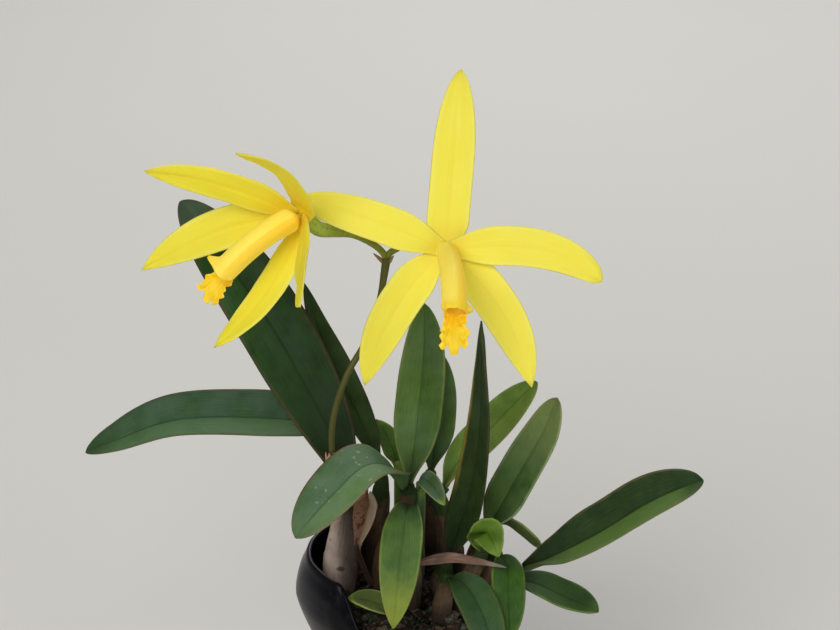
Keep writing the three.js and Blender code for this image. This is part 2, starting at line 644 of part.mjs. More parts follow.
/** A sepal or petal in the bloom's frame: its line turns and leans step by step from the hub. */
function segmentGeometry(segment) {
  const shape = { ...KINDS[segment.kind], ...segment.outline };
  const level = segment.kind === 'petal' ? BLOOM.petalLevel : BLOOM.sepalLevel;
  const turnAt = (t) => radians(segment.turn + segment.sweep * t ** (segment.late ?? 1));
  const leanAt = (t) => radians(lerp(segment.lean[0], segment.lean[1], t));
  const heading = (t) => new THREE.Vector3(
    Math.cos(leanAt(t)) * Math.sin(turnAt(t)),
    Math.cos(leanAt(t)) * Math.cos(turnAt(t)),
    Math.sin(leanAt(t)),
  );
  const stride = (segment.length - BLOOM.start) / BLOOM.steps;
  const line = [
    new THREE.Vector3(BLOOM.start * Math.sin(turnAt(0)), BLOOM.start * Math.cos(turnAt(0)), level),
  ];
  for (let i = 0; i < BLOOM.steps; i += 1) {
    line.push(line[i].clone().addScaledVector(heading((i + 0.5) / BLOOM.steps), stride));
  }
  const pointAt = (t) => {
    const place = Math.min(t * BLOOM.steps, BLOOM.steps - 1e-9);
    const i = Math.floor(place);
    return line[i].clone().lerp(line[i + 1], place - i);
  };
  const surface = (u, v) => {
    const across = new THREE.Vector3(-Math.cos(turnAt(u)), Math.sin(turnAt(u)), 0);
    const face = heading(u).cross(across);
    const reach = shape.halfWidth * (segment.wide ?? 1) * widthShare(u, shape);
    const ripple = shape.wave * Math.sin(9 * u + 1.6 * v) * smooth(u, 0.15, 0.5) * v * v;
    return pointAt(u)
      .addScaledVector(across, reach * v)
      .addScaledVector(face, reach * shape.bow * v * v + ripple);
  };
  return bladeGeometry(surface, () => BLOOM.segmentThick, BLOOM.rows, BLOOM.columns);
}

/** The lip's keel: a line that droops away from the bloom's face, leaning aside and turned a little. */
function lipLine({ aside, turn, droop, length }) {
  const axis = new THREE.Vector3(0, 0, 1);
  const line = [new THREE.Vector3(0, -BLOOM.lipRadius, BLOOM.lipLevel)];
  for (let i = 0; i < BLOOM.lipSteps; i += 1) {
    const share = (i + 0.5) / BLOOM.lipSteps;
    const angle = radians(lerp(droop[0], droop[1], share));
    const slant = radians(aside * (1 - share));
    const heading = new THREE.Vector3(
      Math.sin(slant) * Math.cos(angle),
      -Math.sin(angle),
      Math.cos(slant) * Math.cos(angle),
    );
    heading.applyAxisAngle(axis, radians(turn * Math.min(1, (2 * i) / BLOOM.lipSteps)));
    line.push(line[i].clone().addScaledVector(heading, length / BLOOM.lipSteps));
  }
  return new THREE.CatmullRomCurve3(line, false, 'catmullrom', 0.5);
}

/** Radius of the lip's tube, to the middle of its wall. */
function tubeRadius(u) {
  return BLOOM.lipRadius * lerp(1, LIP.swell, smooth(u, 0, LIP.swollen));
}

/** The lip: one blade rolled round the column, flared at the mouth, then a narrow crisped front lobe. */
function lipGeometry(lip) {
  const curve = lipLine(lip);
  const sideways = new THREE.Vector3(1, 0, 0);
  const surface = (u, v) => {
    const along = curve.getTangentAt(u);
    const inward = along.clone().cross(sideways).normalize();
    const mouth = smooth(u, ...LIP.mouth);
    const waist = smooth(u, LIP.mouth[1], LIP.waistEnd);
    const half = radians(lerp(lerp(LIP.tubeRoll, LIP.mouthRoll, mouth), LIP.lobeRoll, waist));
    const onLobe = Math.min(1, Math.max(0, (u - LIP.lobeStarts) / LIP.lobeSpan));
    const lobe = LIP.waist + LIP.lobe * Math.sin(Math.PI * onLobe);
    const tube = tubeRadius(u) * radians(LIP.tubeRoll);
    const reach = lerp(lerp(tube, tube + lip.flare[v > 0 ? 1 : 0], mouth), lobe, waist);
    const radius = reach / half;
    const crisp = LIP.crisp * waist * Math.abs(v) ** 1.5 * Math.sin(LIP.crisps * u + 2.2 * v);
    return curve.getPointAt(u)
      .addScaledVector(sideways, (radius - crisp) * Math.sin(half * v))
      .addScaledVector(inward, radius - (radius - crisp) * Math.cos(half * v));
  };
  return bladeGeometry(surface, () => BLOOM.lipThick, LIP.rows, LIP.columns, 1.1);
}

/** The column: a short club from the middle of the bloom into the rolled lip. */
function columnGeometry(lip) {
  const keel = lipLine(lip);
  const share = BLOOM.columnLength / lip.length;
  const inner = [0.35, 0.65, 1].map((t) => {
    const along = keel.getTangentAt(t * share);
    const inward = along.clone().cross(new THREE.Vector3(1, 0, 0)).normalize();
    return keel.getPointAt(t * share).addScaledVector(inward, tubeRadius(t * share));
  });
  const foot = new THREE.Vector3(0, 0, BLOOM.sepalLevel - BLOOM.segmentThick / 2);
  const above = new THREE.Vector3(0, 0, BLOOM.columnStraight);
  const curve = new THREE.CatmullRomCurve3([foot, above, ...inner], false, 'catmullrom', 0.5);
  const radiusAt = (t) => BLOOM.columnRadius * (1 - 0.25 * Math.sin(Math.PI * t));
  return stalkGeometry(curve, radiusAt, 7, 8);
}

const plant = new THREE.Group();
plant.name = 'potted_cattleya';

function addPiece(parent, name, geometry, finish) {
  const [color, roughness] = FINISH[finish];
  const material = new THREE.MeshStandardMaterial({ color, roughness, metalness: 0 });
  const mesh = new THREE.Mesh(geometry, material);
  mesh.name = name;
  parent.add(mesh);
  return mesh;
}

/** Pot, mix and rhizome, with room in both for every bulb's foot. */
function addPotAndGround() {
  const standing = [...GROWTHS, ...SHOOTS];
  const feet = new Map(standing.map((growth) => [growth.name, growth.foot]));
  const room = (clear) => standing
    .map((growth) => socketOf(growth, clear))
    .reduce((whole, solid) => whole.add(solid));
  const rhizome = rhizomeSolid(feet).subtract(room(GAP));
  addPiece(plant, 'pot', potGeometry(), 'pot');
  addPiece(plant, 'potting_mix', mixGeometry(room(2 * GAP).add(rhizomeSolid(feet, GAP))), 'mix');
  addPiece(plant, 'rhizome', geometryOf(largest(rhizome)), 'rhizome');
}

function addGrowths() {
  for (const growth of GROWTHS) {
    addPiece(plant, `bulb_${growth.name}`, bulbGeometry(growth), 'bulb');
    addPiece(plant, `leaf_${growth.name}`, leafGeometry(growth), 'leaf');
  }
  for (const shoot of SHOOTS) {
    const leaf = solidOf(leafGeometry(shoot));
    const reach = curveThrough(shoot.rib).getTangentAt(0).multiplyScalar(GAP + 1);
    const joint = stalkGeometry(
      new THREE.LineCurve3(vector(shoot.rib[0]).sub(reach), vector(shoot.rib[0]).add(reach)),
      () => BULB.neck * 0.95, 2, BULB.sides,
    );
    const whole = largest(solidOf(bulbGeometry(shoot)).add(solidOf(joint)).add(leaf));
    addPiece(plant, `shoot_${shoot.name}`, geometryOf(whole), 'youngLeaf');
  }
}

function addFlowerStem() {
  const curve = curveThrough(SCAPE.route);
  const radiusAt = (t) => SCAPE.radius * (1 + SCAPE.forkSwell * smooth(t, 0.85, 1));
  let scape = solidOf(stalkGeometry(curve, radiusAt, SCAPE.steps, SCAPE.sides));
  for (const { from, to, radius } of SCAPE.bracts) {
    const line = new THREE.LineCurve3(vector(from), vector(to));
    scape = scape.add(solidOf(stalkGeometry(line, (t) => radius * (1 - 0.85 * t), 2, 6)));
  }
  addPiece(plant, 'flower_stem', geometryOf(scape), 'stem');
  addPiece(plant, 'spathe', sheathGeometry(SPATHE, [0.6, 0.8, 0]), 'spathe');
  addPiece(plant, 'dry_sheath', drySheathGeometry(), 'dry');
}

/** The group that holds one bloom: its place, and its own right, up and out directions. */
function bloomGroup(bloom) {
  const out = vector(bloom.out).normalize();
  const right = vector(bloom.up).cross(out).normalize();
  const group = new THREE.Group();
  group.position.fromArray(bloom.hub);
  group.quaternion.setFromRotationMatrix(new THREE.Matrix4().makeBasis(right, out.clone().cross(right), out));
  return group;
}

function addBloom(bloom) {
  const group = bloomGroup(bloom);
  plant.add(group);
  for (const segment of bloom.segments) {
    addPiece(group, `${segment.name}_${bloom.name}`, segmentGeometry(segment), 'yellow');
  }
  addPiece(group, `lip_${bloom.name}`, lipGeometry(bloom.lip), 'gold');
  addPiece(group, `column_${bloom.name}`, columnGeometry(bloom.lip), 'yellow');
  const back = BLOOM.sepalLevel - BLOOM.segmentThick / 2 - GAP;
  const out = vector(bloom.out).normalize();
  const end = vector(bloom.hub).addScaledVector(out, back);
  end.addScaledVector(vector(bloom.up), -BLOOM.ovaryDrop);
  const behind = end.clone().addScaledVector(out, -BLOOM.ovaryStraight);
  const points = [...bloom.stalk.map(vector), behind, end];
  const curve = new THREE.CatmullRomCurve3(points, false, 'catmullrom', 0.5);
  const radiusAt = (t) => lerp(BLOOM.stalkRadius, BLOOM.ovaryRadius, smooth(t, 0.3, 0.75));
  addPiece(plant, `ovary_${bloom.name}`, stalkGeometry(curve, radiusAt, 10, 8), 'youngLeaf');
}

addPotAndGround();
addGrowths();
addFlowerStem();
BLOOMS.forEach(addBloom);

export default plant;
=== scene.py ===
# %% [markdown]
# # A potted cattleya in flower
# This lesson dresses the solid model of a small rock-growing orchid in a soft black pot. The solids give
# every leaf, petal and bulb its place and form. Here each one is made again from the same measures with
# finer steps, and gets a surface worked out from what it really is: leather-like leaf, papery sheath,
# wax-like petal. The solids could also be smoothed with a modifier, but their edges would shrink and their
# grain would have no direction. Making them again from their own lines keeps the form and tells each point
# how far along its leaf it is.

# %% Load the solid model as a fixed frame
import math
from collections import namedtuple
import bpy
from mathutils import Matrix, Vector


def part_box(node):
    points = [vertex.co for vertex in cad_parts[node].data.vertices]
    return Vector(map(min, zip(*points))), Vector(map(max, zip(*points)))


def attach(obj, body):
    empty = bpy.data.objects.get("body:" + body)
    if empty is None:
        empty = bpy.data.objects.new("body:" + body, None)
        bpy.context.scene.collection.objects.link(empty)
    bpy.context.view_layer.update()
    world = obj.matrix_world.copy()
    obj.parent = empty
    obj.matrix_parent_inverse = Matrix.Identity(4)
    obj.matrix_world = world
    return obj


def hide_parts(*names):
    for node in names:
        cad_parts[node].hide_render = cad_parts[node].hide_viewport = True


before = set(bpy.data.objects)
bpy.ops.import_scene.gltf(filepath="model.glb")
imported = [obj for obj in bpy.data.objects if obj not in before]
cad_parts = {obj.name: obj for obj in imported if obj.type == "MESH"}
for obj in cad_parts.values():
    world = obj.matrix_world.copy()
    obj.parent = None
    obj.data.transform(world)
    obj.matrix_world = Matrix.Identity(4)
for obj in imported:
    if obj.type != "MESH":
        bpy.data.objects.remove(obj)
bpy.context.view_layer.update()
from types import SimpleNamespace as Measures
import bpy
import bmesh
import numpy as np
from mathutils import Vector

MM = 0.001

# %% [markdown]
# ## The camera
# The flower is photographed from half a metre away with a long lens, looking down by 22 degrees. A long
# lens keeps the leaves behind as large as the ones in front. The place and the angle were worked out by
# setting points of the plant against the picture, so they are plain numbers here and not a view that is
# aimed by hand.

# %% Camera at the photograph's angle
LOOKS_DOWN_BY = 22
camera = bpy.data.objects.new("camera", bpy.data.cameras.new("camera"))
camera.data.sensor_width = 36
camera.data.lens = 120
camera.location = (0.00255, -0.5291, 0.3187)
camera.rotation_euler = (math.radians(90 - LOOKS_DOWN_BY), 0, 0)
camera.data.clip_start, camera.data.clip_end = 0.01, 20
bpy.context.scene.collection.objects.link(camera)
bpy.context.scene.camera = camera
print("camera at", tuple(camera.location), "lens", camera.data.lens)

# %% [markdown]
# ## Shader sums written as Python
# A material is a graph of nodes, but a graph is hard to read as a list of links. This small class wraps one
# socket, so that a sum such as `1 - mask` adds its own Math node. Colours never go through a Math node,
# because it would turn them grey, so they are blended with Mix nodes.

# %% A socket that can be used in a Python expression
class Wire:
    """One socket of a node tree. Sums on it add Math nodes, and node() adds any other node."""

    def __init__(self, tree, socket=None, finish=None):
        self.tree, self.socket, self.finish = tree, socket, finish

    def node(self, kind, settings=None, sockets=None, out=0):
        made = self.tree.nodes.new(kind)
        for key, value in (settings or {}).items():
            if key == "stops":
                self.set_stops(made.color_ramp, value)
            else:
                setattr(made, key, value)
        for key, value in (sockets or {}).items():
            if isinstance(value, Wire):
                self.tree.links.new(value.socket, made.inputs[key])
            else:
                made.inputs[key].default_value = value
        return Wire(self.tree, made.outputs[out]) if made.outputs else None

    def set_stops(self, ramp, stops):
        for place, _ in stops[1:-1]:
            ramp.elements.new(place)
        for element, (place, colour) in zip(ramp.elements, stops):
            element.position, element.color = place, colour

    def sum_with(self, operation, first, second=0.0):
        return self.node("ShaderNodeMath", {"operation": operation}, {0: first, 1: second})

    def __add__(self, other):
        return self.sum_with("ADD", self, other)

    def __sub__(self, other):
        return self.sum_with("SUBTRACT", self, other)

    def __rsub__(self, other):
        return self.sum_with("SUBTRACT", other, self)

    def __mul__(self, other):
        return self.sum_with("MULTIPLY", self, other)

    def __abs__(self):
        return self.sum_with("ABSOLUTE", self)

    __radd__ = __add__
    __rmul__ = __mul__

# %% Colours, masks and grain
def paint(code):
    """A colour written as in a paint chart, as the linear numbers that a shader works with."""
    parts = [int(code[i:i + 2], 16) / 255 for i in (1, 3, 5)]
    return (*[p / 12.92 if p <= 0.04045 else ((p + 0.055) / 1.055) ** 2.4 for p in parts], 1.0)

def blend(under, over, share):
    """A colour that goes from under to over as the share goes from 0 to 1. Either may be a chart's code."""
    under, over = (paint(colour) if isinstance(colour, str) else colour for colour in (under, over))
    return share.node("ShaderNodeMix", {"data_type": "RGBA"}, {0: share, 6: under, 7: over}, out=2)

def between(value, low, high):
    """0 below low, 1 above high, and a soft step between them."""
    return value.node("ShaderNodeMapRange", {"interpolation_type": "SMOOTHSTEP"},
                      {"Value": value, "From Min": low, "From Max": high})

def grain(where, scale, detail=3.0, contrast=0.0):
    """Soft random grain from 0 to 1, in lumps of one unit over scale. Contrast pushes it to its ends."""
    made = where.node("ShaderNodeTexNoise", None, {"Vector": where, "Scale": scale, "Detail": detail})
    return between(made, contrast, 1 - contrast) if contrast else made

def stretched(pen, *parts):
    """A place in a stretched space, for grain that runs along a blade or round a stem."""
    return pen.node("ShaderNodeCombineXYZ", None, dict(enumerate(parts)))

def point_values(pen, *names):
    """Numbers that each point of the mesh carries."""
    return [pen.node("ShaderNodeAttribute", {"attribute_name": name}, out="Fac") for name in names]

def new_finish(name):
    """A pen that draws in an empty material, and the place on the object in metres."""
    finish = bpy.data.materials.new(name)
    finish.use_nodes = True
    finish.node_tree.nodes.clear()
    pen = Wire(finish.node_tree, finish=finish)
    return pen, pen.node("ShaderNodeTexCoord", out="Object")

def surface_of(pen, colour, roughness, relief, depth, **fixed):
    """Ends a material: colour, roughness, relief in metres, and whatever is the same all over."""
    normal = pen.node("ShaderNodeBump", None, {"Height": relief, "Strength": 1.0, "Distance": depth})
    sockets = {"Base Color": colour, "Roughness": roughness, "Normal": normal}
    sockets.update({key.replace("_", " "): value for key, value in fixed.items()})
    shader = pen.node("ShaderNodeBsdfPrincipled", None, sockets)
    pen.node("ShaderNodeOutputMaterial", None, {"Surface": shader})
    return pen.finish

print("shader helpers ready")

# %% [markdown]
# ## Floor and light
# The real pot stands in a studio. A wide pale floor catches a soft shadow, and three large soft lights take
# the place of the studio's: one high at the front left, a weaker one at the right, and a rim light behind.
# Large lights were chosen over small ones because petals look like wax under them and burn out under small
# ones.

# %% Pale floor
def floor_finish():
    pen, where = new_finish("pale_floor")
    cloud = grain(where, 3.0, 4.0)
    colour = blend("#E4E1DB", "#EDEBE6", cloud)
    return surface_of(pen, colour, 0.8 + 0.1 * cloud, grain(where, 900.0), 0.00003)

FLOOR_HALF = 2.5
floor_corners = [(FLOOR_HALF * x, FLOOR_HALF * y, 0) for x, y in ((-1, -1), (1, -1), (1, 1), (-1, 1))]
floor_mesh = bpy.data.meshes.new("floor")
floor_mesh.from_pydata(floor_corners, [], [(0, 1, 2, 3)])
floor_mesh.materials.append(floor_finish())
floor = bpy.data.objects.new("floor", floor_mesh)
bpy.context.scene.collection.objects.link(floor)
print("floor", 2 * FLOOR_HALF, "m wide")

# %% Three soft lights and a pale room
PLANT_MIDDLE = Vector((0, 0, 0.085))
LIGHTS = [
    dict(name="key", at=(-0.36, -0.85, 0.78), wide=0.8, watts=8.8, tint=(1.0, 0.985, 0.95)),
    dict(name="fill", at=(0.85, -0.55, 0.35), wide=0.6, watts=2.2, tint=(0.94, 0.97, 1.0)),
    dict(name="rim", at=(0.1, 0.8, 0.7), wide=0.5, watts=3.5, tint=(1.0, 1.0, 1.0)),
]
for plan in LIGHTS:
    light = bpy.data.lights.new(plan["name"], "AREA")
    light.energy, light.size, light.color = plan["watts"], plan["wide"], plan["tint"]
    lamp = bpy.data.objects.new(plan["name"], light)
    lamp.location = plan["at"]
    lamp.rotation_euler = (PLANT_MIDDLE - lamp.location).to_track_quat("-Z", "Y").to_euler()
    bpy.context.scene.collection.objects.link(lamp)
ROOM_TINT, ROOM_STRENGTH = (0.86, 0.88, 0.9, 1), 0.2
room = bpy.data.worlds.new("pale_room")
room.use_nodes = True
room.node_tree.nodes["Background"].inputs["Color"].default_value = ROOM_TINT
room.node_tree.nodes["Background"].inputs["Strength"].default_value = ROOM_STRENGTH
bpy.context.scene.world = room
bpy.context.scene.view_settings.view_transform = "Standard"
print("lights:", [plan["name"] for plan in LIGHTS])

# %% [markdown]
# ## Walking along a curve
# A midrib, a stem or a rhizome is a smooth curve through a few points. It is walked by its length, so that
# equal steps stay equal on the curve. Blender's own curve objects could do this, but a surface that folds
# and tapers as it goes needs the curve's points and directions as numbers.

# %% Curves and small sums
def unit(v):
    return v / np.linalg.norm(v, axis=-1, keepdims=True)

def smooth(x, low, high):
    t = np.clip((np.asarray(x, float) - low) / (high - low), 0, 1)
    return t * t * (3 - 2 * t)

def lerp(a, b, t):
    return a + (b - a) * t

class Line:
    """A smooth curve through points. at(u) and along(u) take the share of its length that has been walked."""

    STEPS = 200

    def __init__(self, points):
        p = np.array(points, float)
        self.knots = np.vstack([2 * p[0] - p[1], p, 2 * p[-1] - p[-2]])
        self.times = np.linspace(0, 1, self.STEPS + 1)
        gone = np.linalg.norm(np.diff(self.raw(self.times), axis=0), axis=1)
        self.walked = np.concatenate([[0], np.cumsum(gone)])

    def raw(self, t):
        t = np.clip(t, 0, 1) * (len(self.knots) - 3)
        i = np.minimum(t.astype(int), len(self.knots) - 4)
        w = (t - i)[..., None]
        a, b, c, d = (self.knots[i + k] for k in range(4))
        bend = (c - a) / 2 * (w**3 - 2 * w**2 + w) + (d - b) / 2 * (w**3 - w**2)
        return b * (2 * w**3 - 3 * w**2 + 1) + c * (3 * w**2 - 2 * w**3) + bend

    def time(self, u):
        return np.interp(np.asarray(u, float) * self.walked[-1], self.walked, self.times)

    def at(self, u):
        return self.raw(self.time(u))

    def along(self, u, near=1e-4):
        t = self.time(u)
        return unit(self.raw(np.minimum(t + near, 1)) - self.raw(np.maximum(t - near, 0)))

    def off(self, u, guide, aside, lift, onward=0.0):
        """Points of a blade, so far aside, lifted and onward from the curve. Its face looks to the guide."""
        along = self.along(u)
        face = unit(guide - along * (along * guide).sum(-1, keepdims=True))
        steps = (np.cross(face, along), aside), (face, lift), (along, onward)
        return self.at(u) + sum(way * np.asarray(far)[..., None] for way, far in steps)

print("a quarter circle's line:", Line([(1, 0, 0), (0.7, 0.7, 0), (0, 1, 0)]).walked[-1].round(3))

# %% [markdown]
# ## Skins: blades and stalks
# Two kinds of skin make the whole plant. A blade is a sheet with two faces that meet at a thin rounded rim.
# A stalk is a tube whose radius may change along it and round it. Both are rings of points that are closed
# at each end, so every piece is a sealed body. Each point also carries where it sits on its blade, for the
# grain of its material.

# %% A shape that gathers points, faces and what each point carries
class Shape:
    """Points in millimetres, faces, and four numbers for each point: along, across, side and tone."""

    KEYS = ("along", "across", "side", "tone")

    def __init__(self):
        self.points, self.faces, self.values, self.size = [], [], [], 0

    def add(self, points, faces, **carried):
        points = np.asarray(points, float).reshape(-1, 3)
        self.faces += [[self.size + k for k in face] for face in faces]
        self.points.append(points)
        rows = [np.broadcast_to(np.asarray(carried.get(k, 0.0), float), len(points)) for k in self.KEYS]
        self.values.append(np.array(rows))
        self.size += len(points)

def skin(shape, rings, along, across, side, tone=0.0, sheet=False):
    """Closes rings of points into a body. A sheet's ends are sewn flat, a stem's get a middle point."""
    rows, around = rings.shape[:2]
    points = np.vstack([rings.reshape(-1, 3), rings[0].mean(0), rings[-1].mean(0)])
    faces = []
    for i in range(rows - 1):
        a = i * around
        for k in range(around):
            n = (k + 1) % around
            faces.append((a + k, a + around + k, a + around + n, a + n))
    first, last, end, half = rows * around, rows * around + 1, (rows - 1) * around, around // 2
    if sheet:
        caps = [(0, 1, around - 1), (half - 1, half, half + 1)]
        caps += [(k, k + 1, around - k - 1, around - k) for k in range(1, half - 1)]
        faces += caps + [tuple(end + k for k in reversed(cap)) for cap in caps]
        points, ends = points[:first], lambda grid: grid.reshape(-1)
    else:
        for k in range(around):
            n = (k + 1) % around
            faces += [(first, k, n), (last, end + n, end + k)]
        ends = lambda grid: np.append(grid.reshape(-1), [grid[0].mean(), grid[-1].mean()])
    shape.add(points, faces, along=ends(along), across=ends(across), side=ends(side), tone=tone)
    return shape

# %% Blades and stalks
RIM_POWER, TIP_THIN, TIP_RATE = 6, 0.35, 14

def blade(shape, surface, upper, lower, rows, columns, crowding=1.35, tone=0.0):
    """A sheet. surface(u, v) is its middle, and upper and lower how far its two faces stand from it."""
    u = 1 - (1 - np.linspace(0, 1, rows + 1)) ** crowding
    u, v = np.meshgrid(u, np.linspace(-1, 1, columns + 1), indexing="ij")
    near = 1e-3
    down = surface(np.minimum(u + near, 1), v) - surface(np.maximum(u - near, 0), v)
    over = surface(u, np.minimum(v + near, 1)) - surface(u, np.maximum(v - near, -1))
    normal = unit(np.cross(down, over))
    rim = np.sqrt(1 - np.abs(v) ** RIM_POWER) * lerp(TIP_THIN, 1, np.minimum((1 - u) * TIP_RATE, 1))
    middle = surface(u, v)
    front = middle + normal * (upper(u, v) * rim)[..., None]
    back = middle - normal * (lower(u, v) * rim)[..., None]
    fold = lambda a, b: np.concatenate([a, b[:, -2:0:-1]], axis=1)
    face = np.where(np.abs(v) < 1, 1.0, 0.0)
    return skin(shape, fold(front, back), fold(u, u), fold(v, v), fold(face, -face), tone, sheet=True)

def carried_along(tangents):
    """A sideways direction that is carried along a curve without twisting."""
    start = np.cross(tangents[0], np.eye(3)[np.argmin(np.abs(tangents[0]))])
    made = [start / np.linalg.norm(start)]
    for tangent in tangents[1:]:
        turned = made[-1] - tangent * (made[-1] @ tangent)
        made.append(turned / np.linalg.norm(turned))
    return np.array(made)

def stalk(shape, line, radius, rings, around, tone=0.0):
    """A tube along a line. radius(u, angle) is in millimetres."""
    u = np.linspace(0, 1, rings + 1)
    tangents = line.along(u)
    normals = carried_along(tangents)
    binormals = np.cross(tangents, normals)
    angle = 2 * np.pi * np.arange(around) / around
    grid_u, grid_angle = np.meshgrid(u, angle, indexing="ij")
    r = radius(grid_u, grid_angle)[..., None]
    ring = np.cos(angle)[:, None] * normals[:, None] - np.sin(angle)[:, None] * binormals[:, None]
    return skin(shape, line.at(u)[:, None] + r * ring, grid_u, np.cos(grid_angle), np.sin(grid_angle), tone)

# %% Standing a shape in the scene
made_faces = {}

def place(name, shape, finish, slot, nodes, smooth_faces=True):
    """Makes the mesh, rides it on the plant's one body, hides the solids it stands for and notes how far
    it reaches past the first one's box.
    """
    mesh = bpy.data.meshes.new(name)
    mesh.from_pydata((np.vstack(shape.points) * MM).tolist(), [], shape.faces)
    for key, row in zip(Shape.KEYS, np.hstack(shape.values)):
        mesh.attributes.new(key, "FLOAT", "POINT").data.foreach_set("value", row.astype(np.float32))
    mesh.polygons.foreach_set("use_smooth", [smooth_faces] * len(mesh.polygons))
    mesh.materials.append(finish)
    piece = bpy.data.objects.new(name, mesh)
    bpy.context.scene.collection.objects.link(piece)
    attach(piece, "root")
    if nodes:
        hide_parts(*nodes)
        low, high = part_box(nodes[0])
        grown = max(max(low - Vector(piece.bound_box[0])), max(Vector(piece.bound_box[6]) - high)) / MM
        made_faces[name] = (sum(len(f) - 2 for f in shape.faces), round(grown, 2))
    return piece

def report(*names):
    for name in names:
        print(f"  {name}: {made_faces[name][0]} triangles, {made_faces[name][1]} mm past its solid's box")

print("skins ready")

# %% [markdown]
# ## Growth measures
# Each growth is one bulb with one leaf. These are the same measures as the solids have: where the bulb
# stands, how stout it is, the leaf's outline, its midrib from the bulb's top to the tip, and where its
# upper side looks. Only the tips are rounder and one young leaf is narrower than in the solids, which have
# few sides there.

# %% Measures of bulbs, leaves and shoots
LEAF = Measures(thick=1.05, edge_thick=0.7, base_fold=58, base_share=0.2, fold_opens_by=0.22)
BULB = Measures(foot_level=39.9, neck=1.15, foot_share=0.62, stout_at=0.3)
Growth = namedtuple("Growth", "name foot stout width fold full taper blunt rib face_from face_to")
GROWTHS = [
    Growth("tall_left", (-14.4, 0), 3.4, 15.8, 20, 0.5, 0.6, 0.52, [(-13.6, 3, 61.7), (-14.9, 4, 72.8),
           (-22, 7, 87.5), (-33.2, 10, 106.5), (-46.6, 12, 125.2)], (0.15, -0.95, 0.3), (0.4, -0.85, 0.35)),
    Growth("slim_left", (-7, 11), 2.4, 7.4, 24, 0.4, 0.45, 0.8, [(-6.4, 9.5, 65.6), (-8.3, 11, 71.9),
           (-13.8, 13, 83.8), (-19, 15, 95.5), (-21.8, 17, 105.3)], (0.4, -0.9, 0.2), (0.6, -0.75, 0.3)),
    Growth("level_left", (-13, 8), 2.6, 13.2, 20, 0.35, 0.5, 0.6, [(-12.8, 11.5, 68.4), (-19.1, 13, 73.8),
           (-29.7, 14, 75.4), (-48.9, 15, 74.6), (-62.3, 15, 69.8), (-68.9, 15, 67.2)], (0.3, -0.5, 0.8),
           (-0.1, -0.42, 0.9)),
    Growth("centre", (0, 5), 2.6, 10.5, 18, 0.4, 0.5, 0.58, [(0.4, 5, 64.9), (1.3, 6, 71.9), (2.5, 7, 82.9),
           (3.4, 8, 93.8), (3.4, 9, 103.8)], (-0.1, -0.95, 0.3), (0, -0.9, 0.4)),
    Growth("centre_back", (4.5, 13.5), 2.2, 8.6, 18, 0.4, 0.5, 0.6, [(4.9, 12.5, 64.4), (5.9, 13.5, 73.8),
           (6.3, 14, 82.6), (5.9, 15, 91.3)], (0, -0.95, 0.3), (0, -0.9, 0.4)),
    Growth("twisted", (6.5, -1), 2.4, 7.8, 16, 0.22, 0.35, 0.85, [(8.4, -2, 50.1), (11.4, -2.6, 59.5),
           (13.7, -3, 69.4), (15.2, -3, 81.9), (15.4, -2.6, 94), (15, -2, 104.4)], (-0.2, -0.97, 0.1),
           (-0.95, -0.3, 0.1)),
    Growth("pale_back", (9.5, 9.5), 2.4, 8.8, 20, 0.4, 0.5, 0.52, [(8, 9, 62.1), (11, 10, 67.4),
           (16.6, 11.5, 73), (22.2, 12.5, 79), (27.2, 13, 84.4)], (-0.4, -0.75, 0.5), (-0.4, -0.8, 0.45)),
    Growth("pale_right", (13, 4), 2.3, 9.4, 20, 0.32, 0.5, 0.5, [(16.6, 3, 54.2), (20, 3.6, 60.6),
           (24.8, 4.6, 69.6), (28.6, 5.6, 76.5), (31.2, 6.4, 83.6)], (-0.3, -0.9, 0.35),
           (-0.35, -0.85, 0.4)),
    Growth("long_right", (16, 1.5), 1.7, 13.4, 22, 0.45, 0.6, 0.5, [(24.6, 1, 46.4), (30.8, 1, 49.2),
           (40.8, 1, 55), (51.2, 2, 61.6), (62, 3, 66.2)], (-0.4, -0.35, 0.85), (-0.25, -0.4, 0.88)),
    Growth("low_right", (14.5, -8.5), 1.7, 8.6, 18, 0.45, 0.55, 0.56, [(21.2, -6, 47.4), (26.4, -7, 46.9),
           (32.4, -9.5, 45.2), (39.6, -12.4, 43.4)], (0.1, -0.3, 0.95), (0.25, -0.35, 0.9)),
    Growth("folded_front", (10.5, -6.5), 1.9, 7.4, 14, 0.35, 0.5, 0.8, [(15.4, -6, 54.6), (15.7, -8, 59.4),
           (16.4, -12, 61.8), (17.4, -15.4, 61), (18.6, -16.8, 58.4)], (0, -0.6, -0.8), (0.1, -0.85, 0.5)),
    Growth("low_front", (6.5, -11.5), 1.9, 8.4, 16, 0.4, 0.5, 0.6, [(8.9, -8.6, 48.4), (11.7, -12.4, 49.6),
           (15.1, -18, 46.6), (18.6, -23.6, 38.2)], (0, -0.3, 0.95), (-0.2, -0.85, 0.5)),
    Growth("low_front_right", (15.5, -3.5), 1.8, 7.4, 18, 0.4, 0.5, 0.6, [(19, -4, 51.4), (20.4, -8, 51.9),
           (20.8, -13.4, 49), (20.8, -20, 40.8)], (0.1, -0.3, 0.95), (0, -0.85, 0.5)),
    Growth("yellow_front", (0.6, -8), 2.1, 8.8, 14, 0.4, 0.45, 0.8, [(0.4, -7, 63.4), (-0.2, -10.6, 65.6),
           (-1.2, -17, 61.4), (-2, -22, 54.6), (-2.9, -26, 46.8)], (0, -0.4, 0.9), (0, -0.9, 0.45)),
    Growth("broad_left", (-5.5, -2), 2.5, 13, 16, 0.45, 0.55, 0.6, [(-0.9, -3, 67.4), (-4, -6.4, 73.4),
           (-9, -10.6, 75.4), (-15.6, -16, 71.2), (-22.6, -21, 64.8)], (-0.3, -0.3, 0.9),
           (-0.35, -0.7, 0.62)),
]
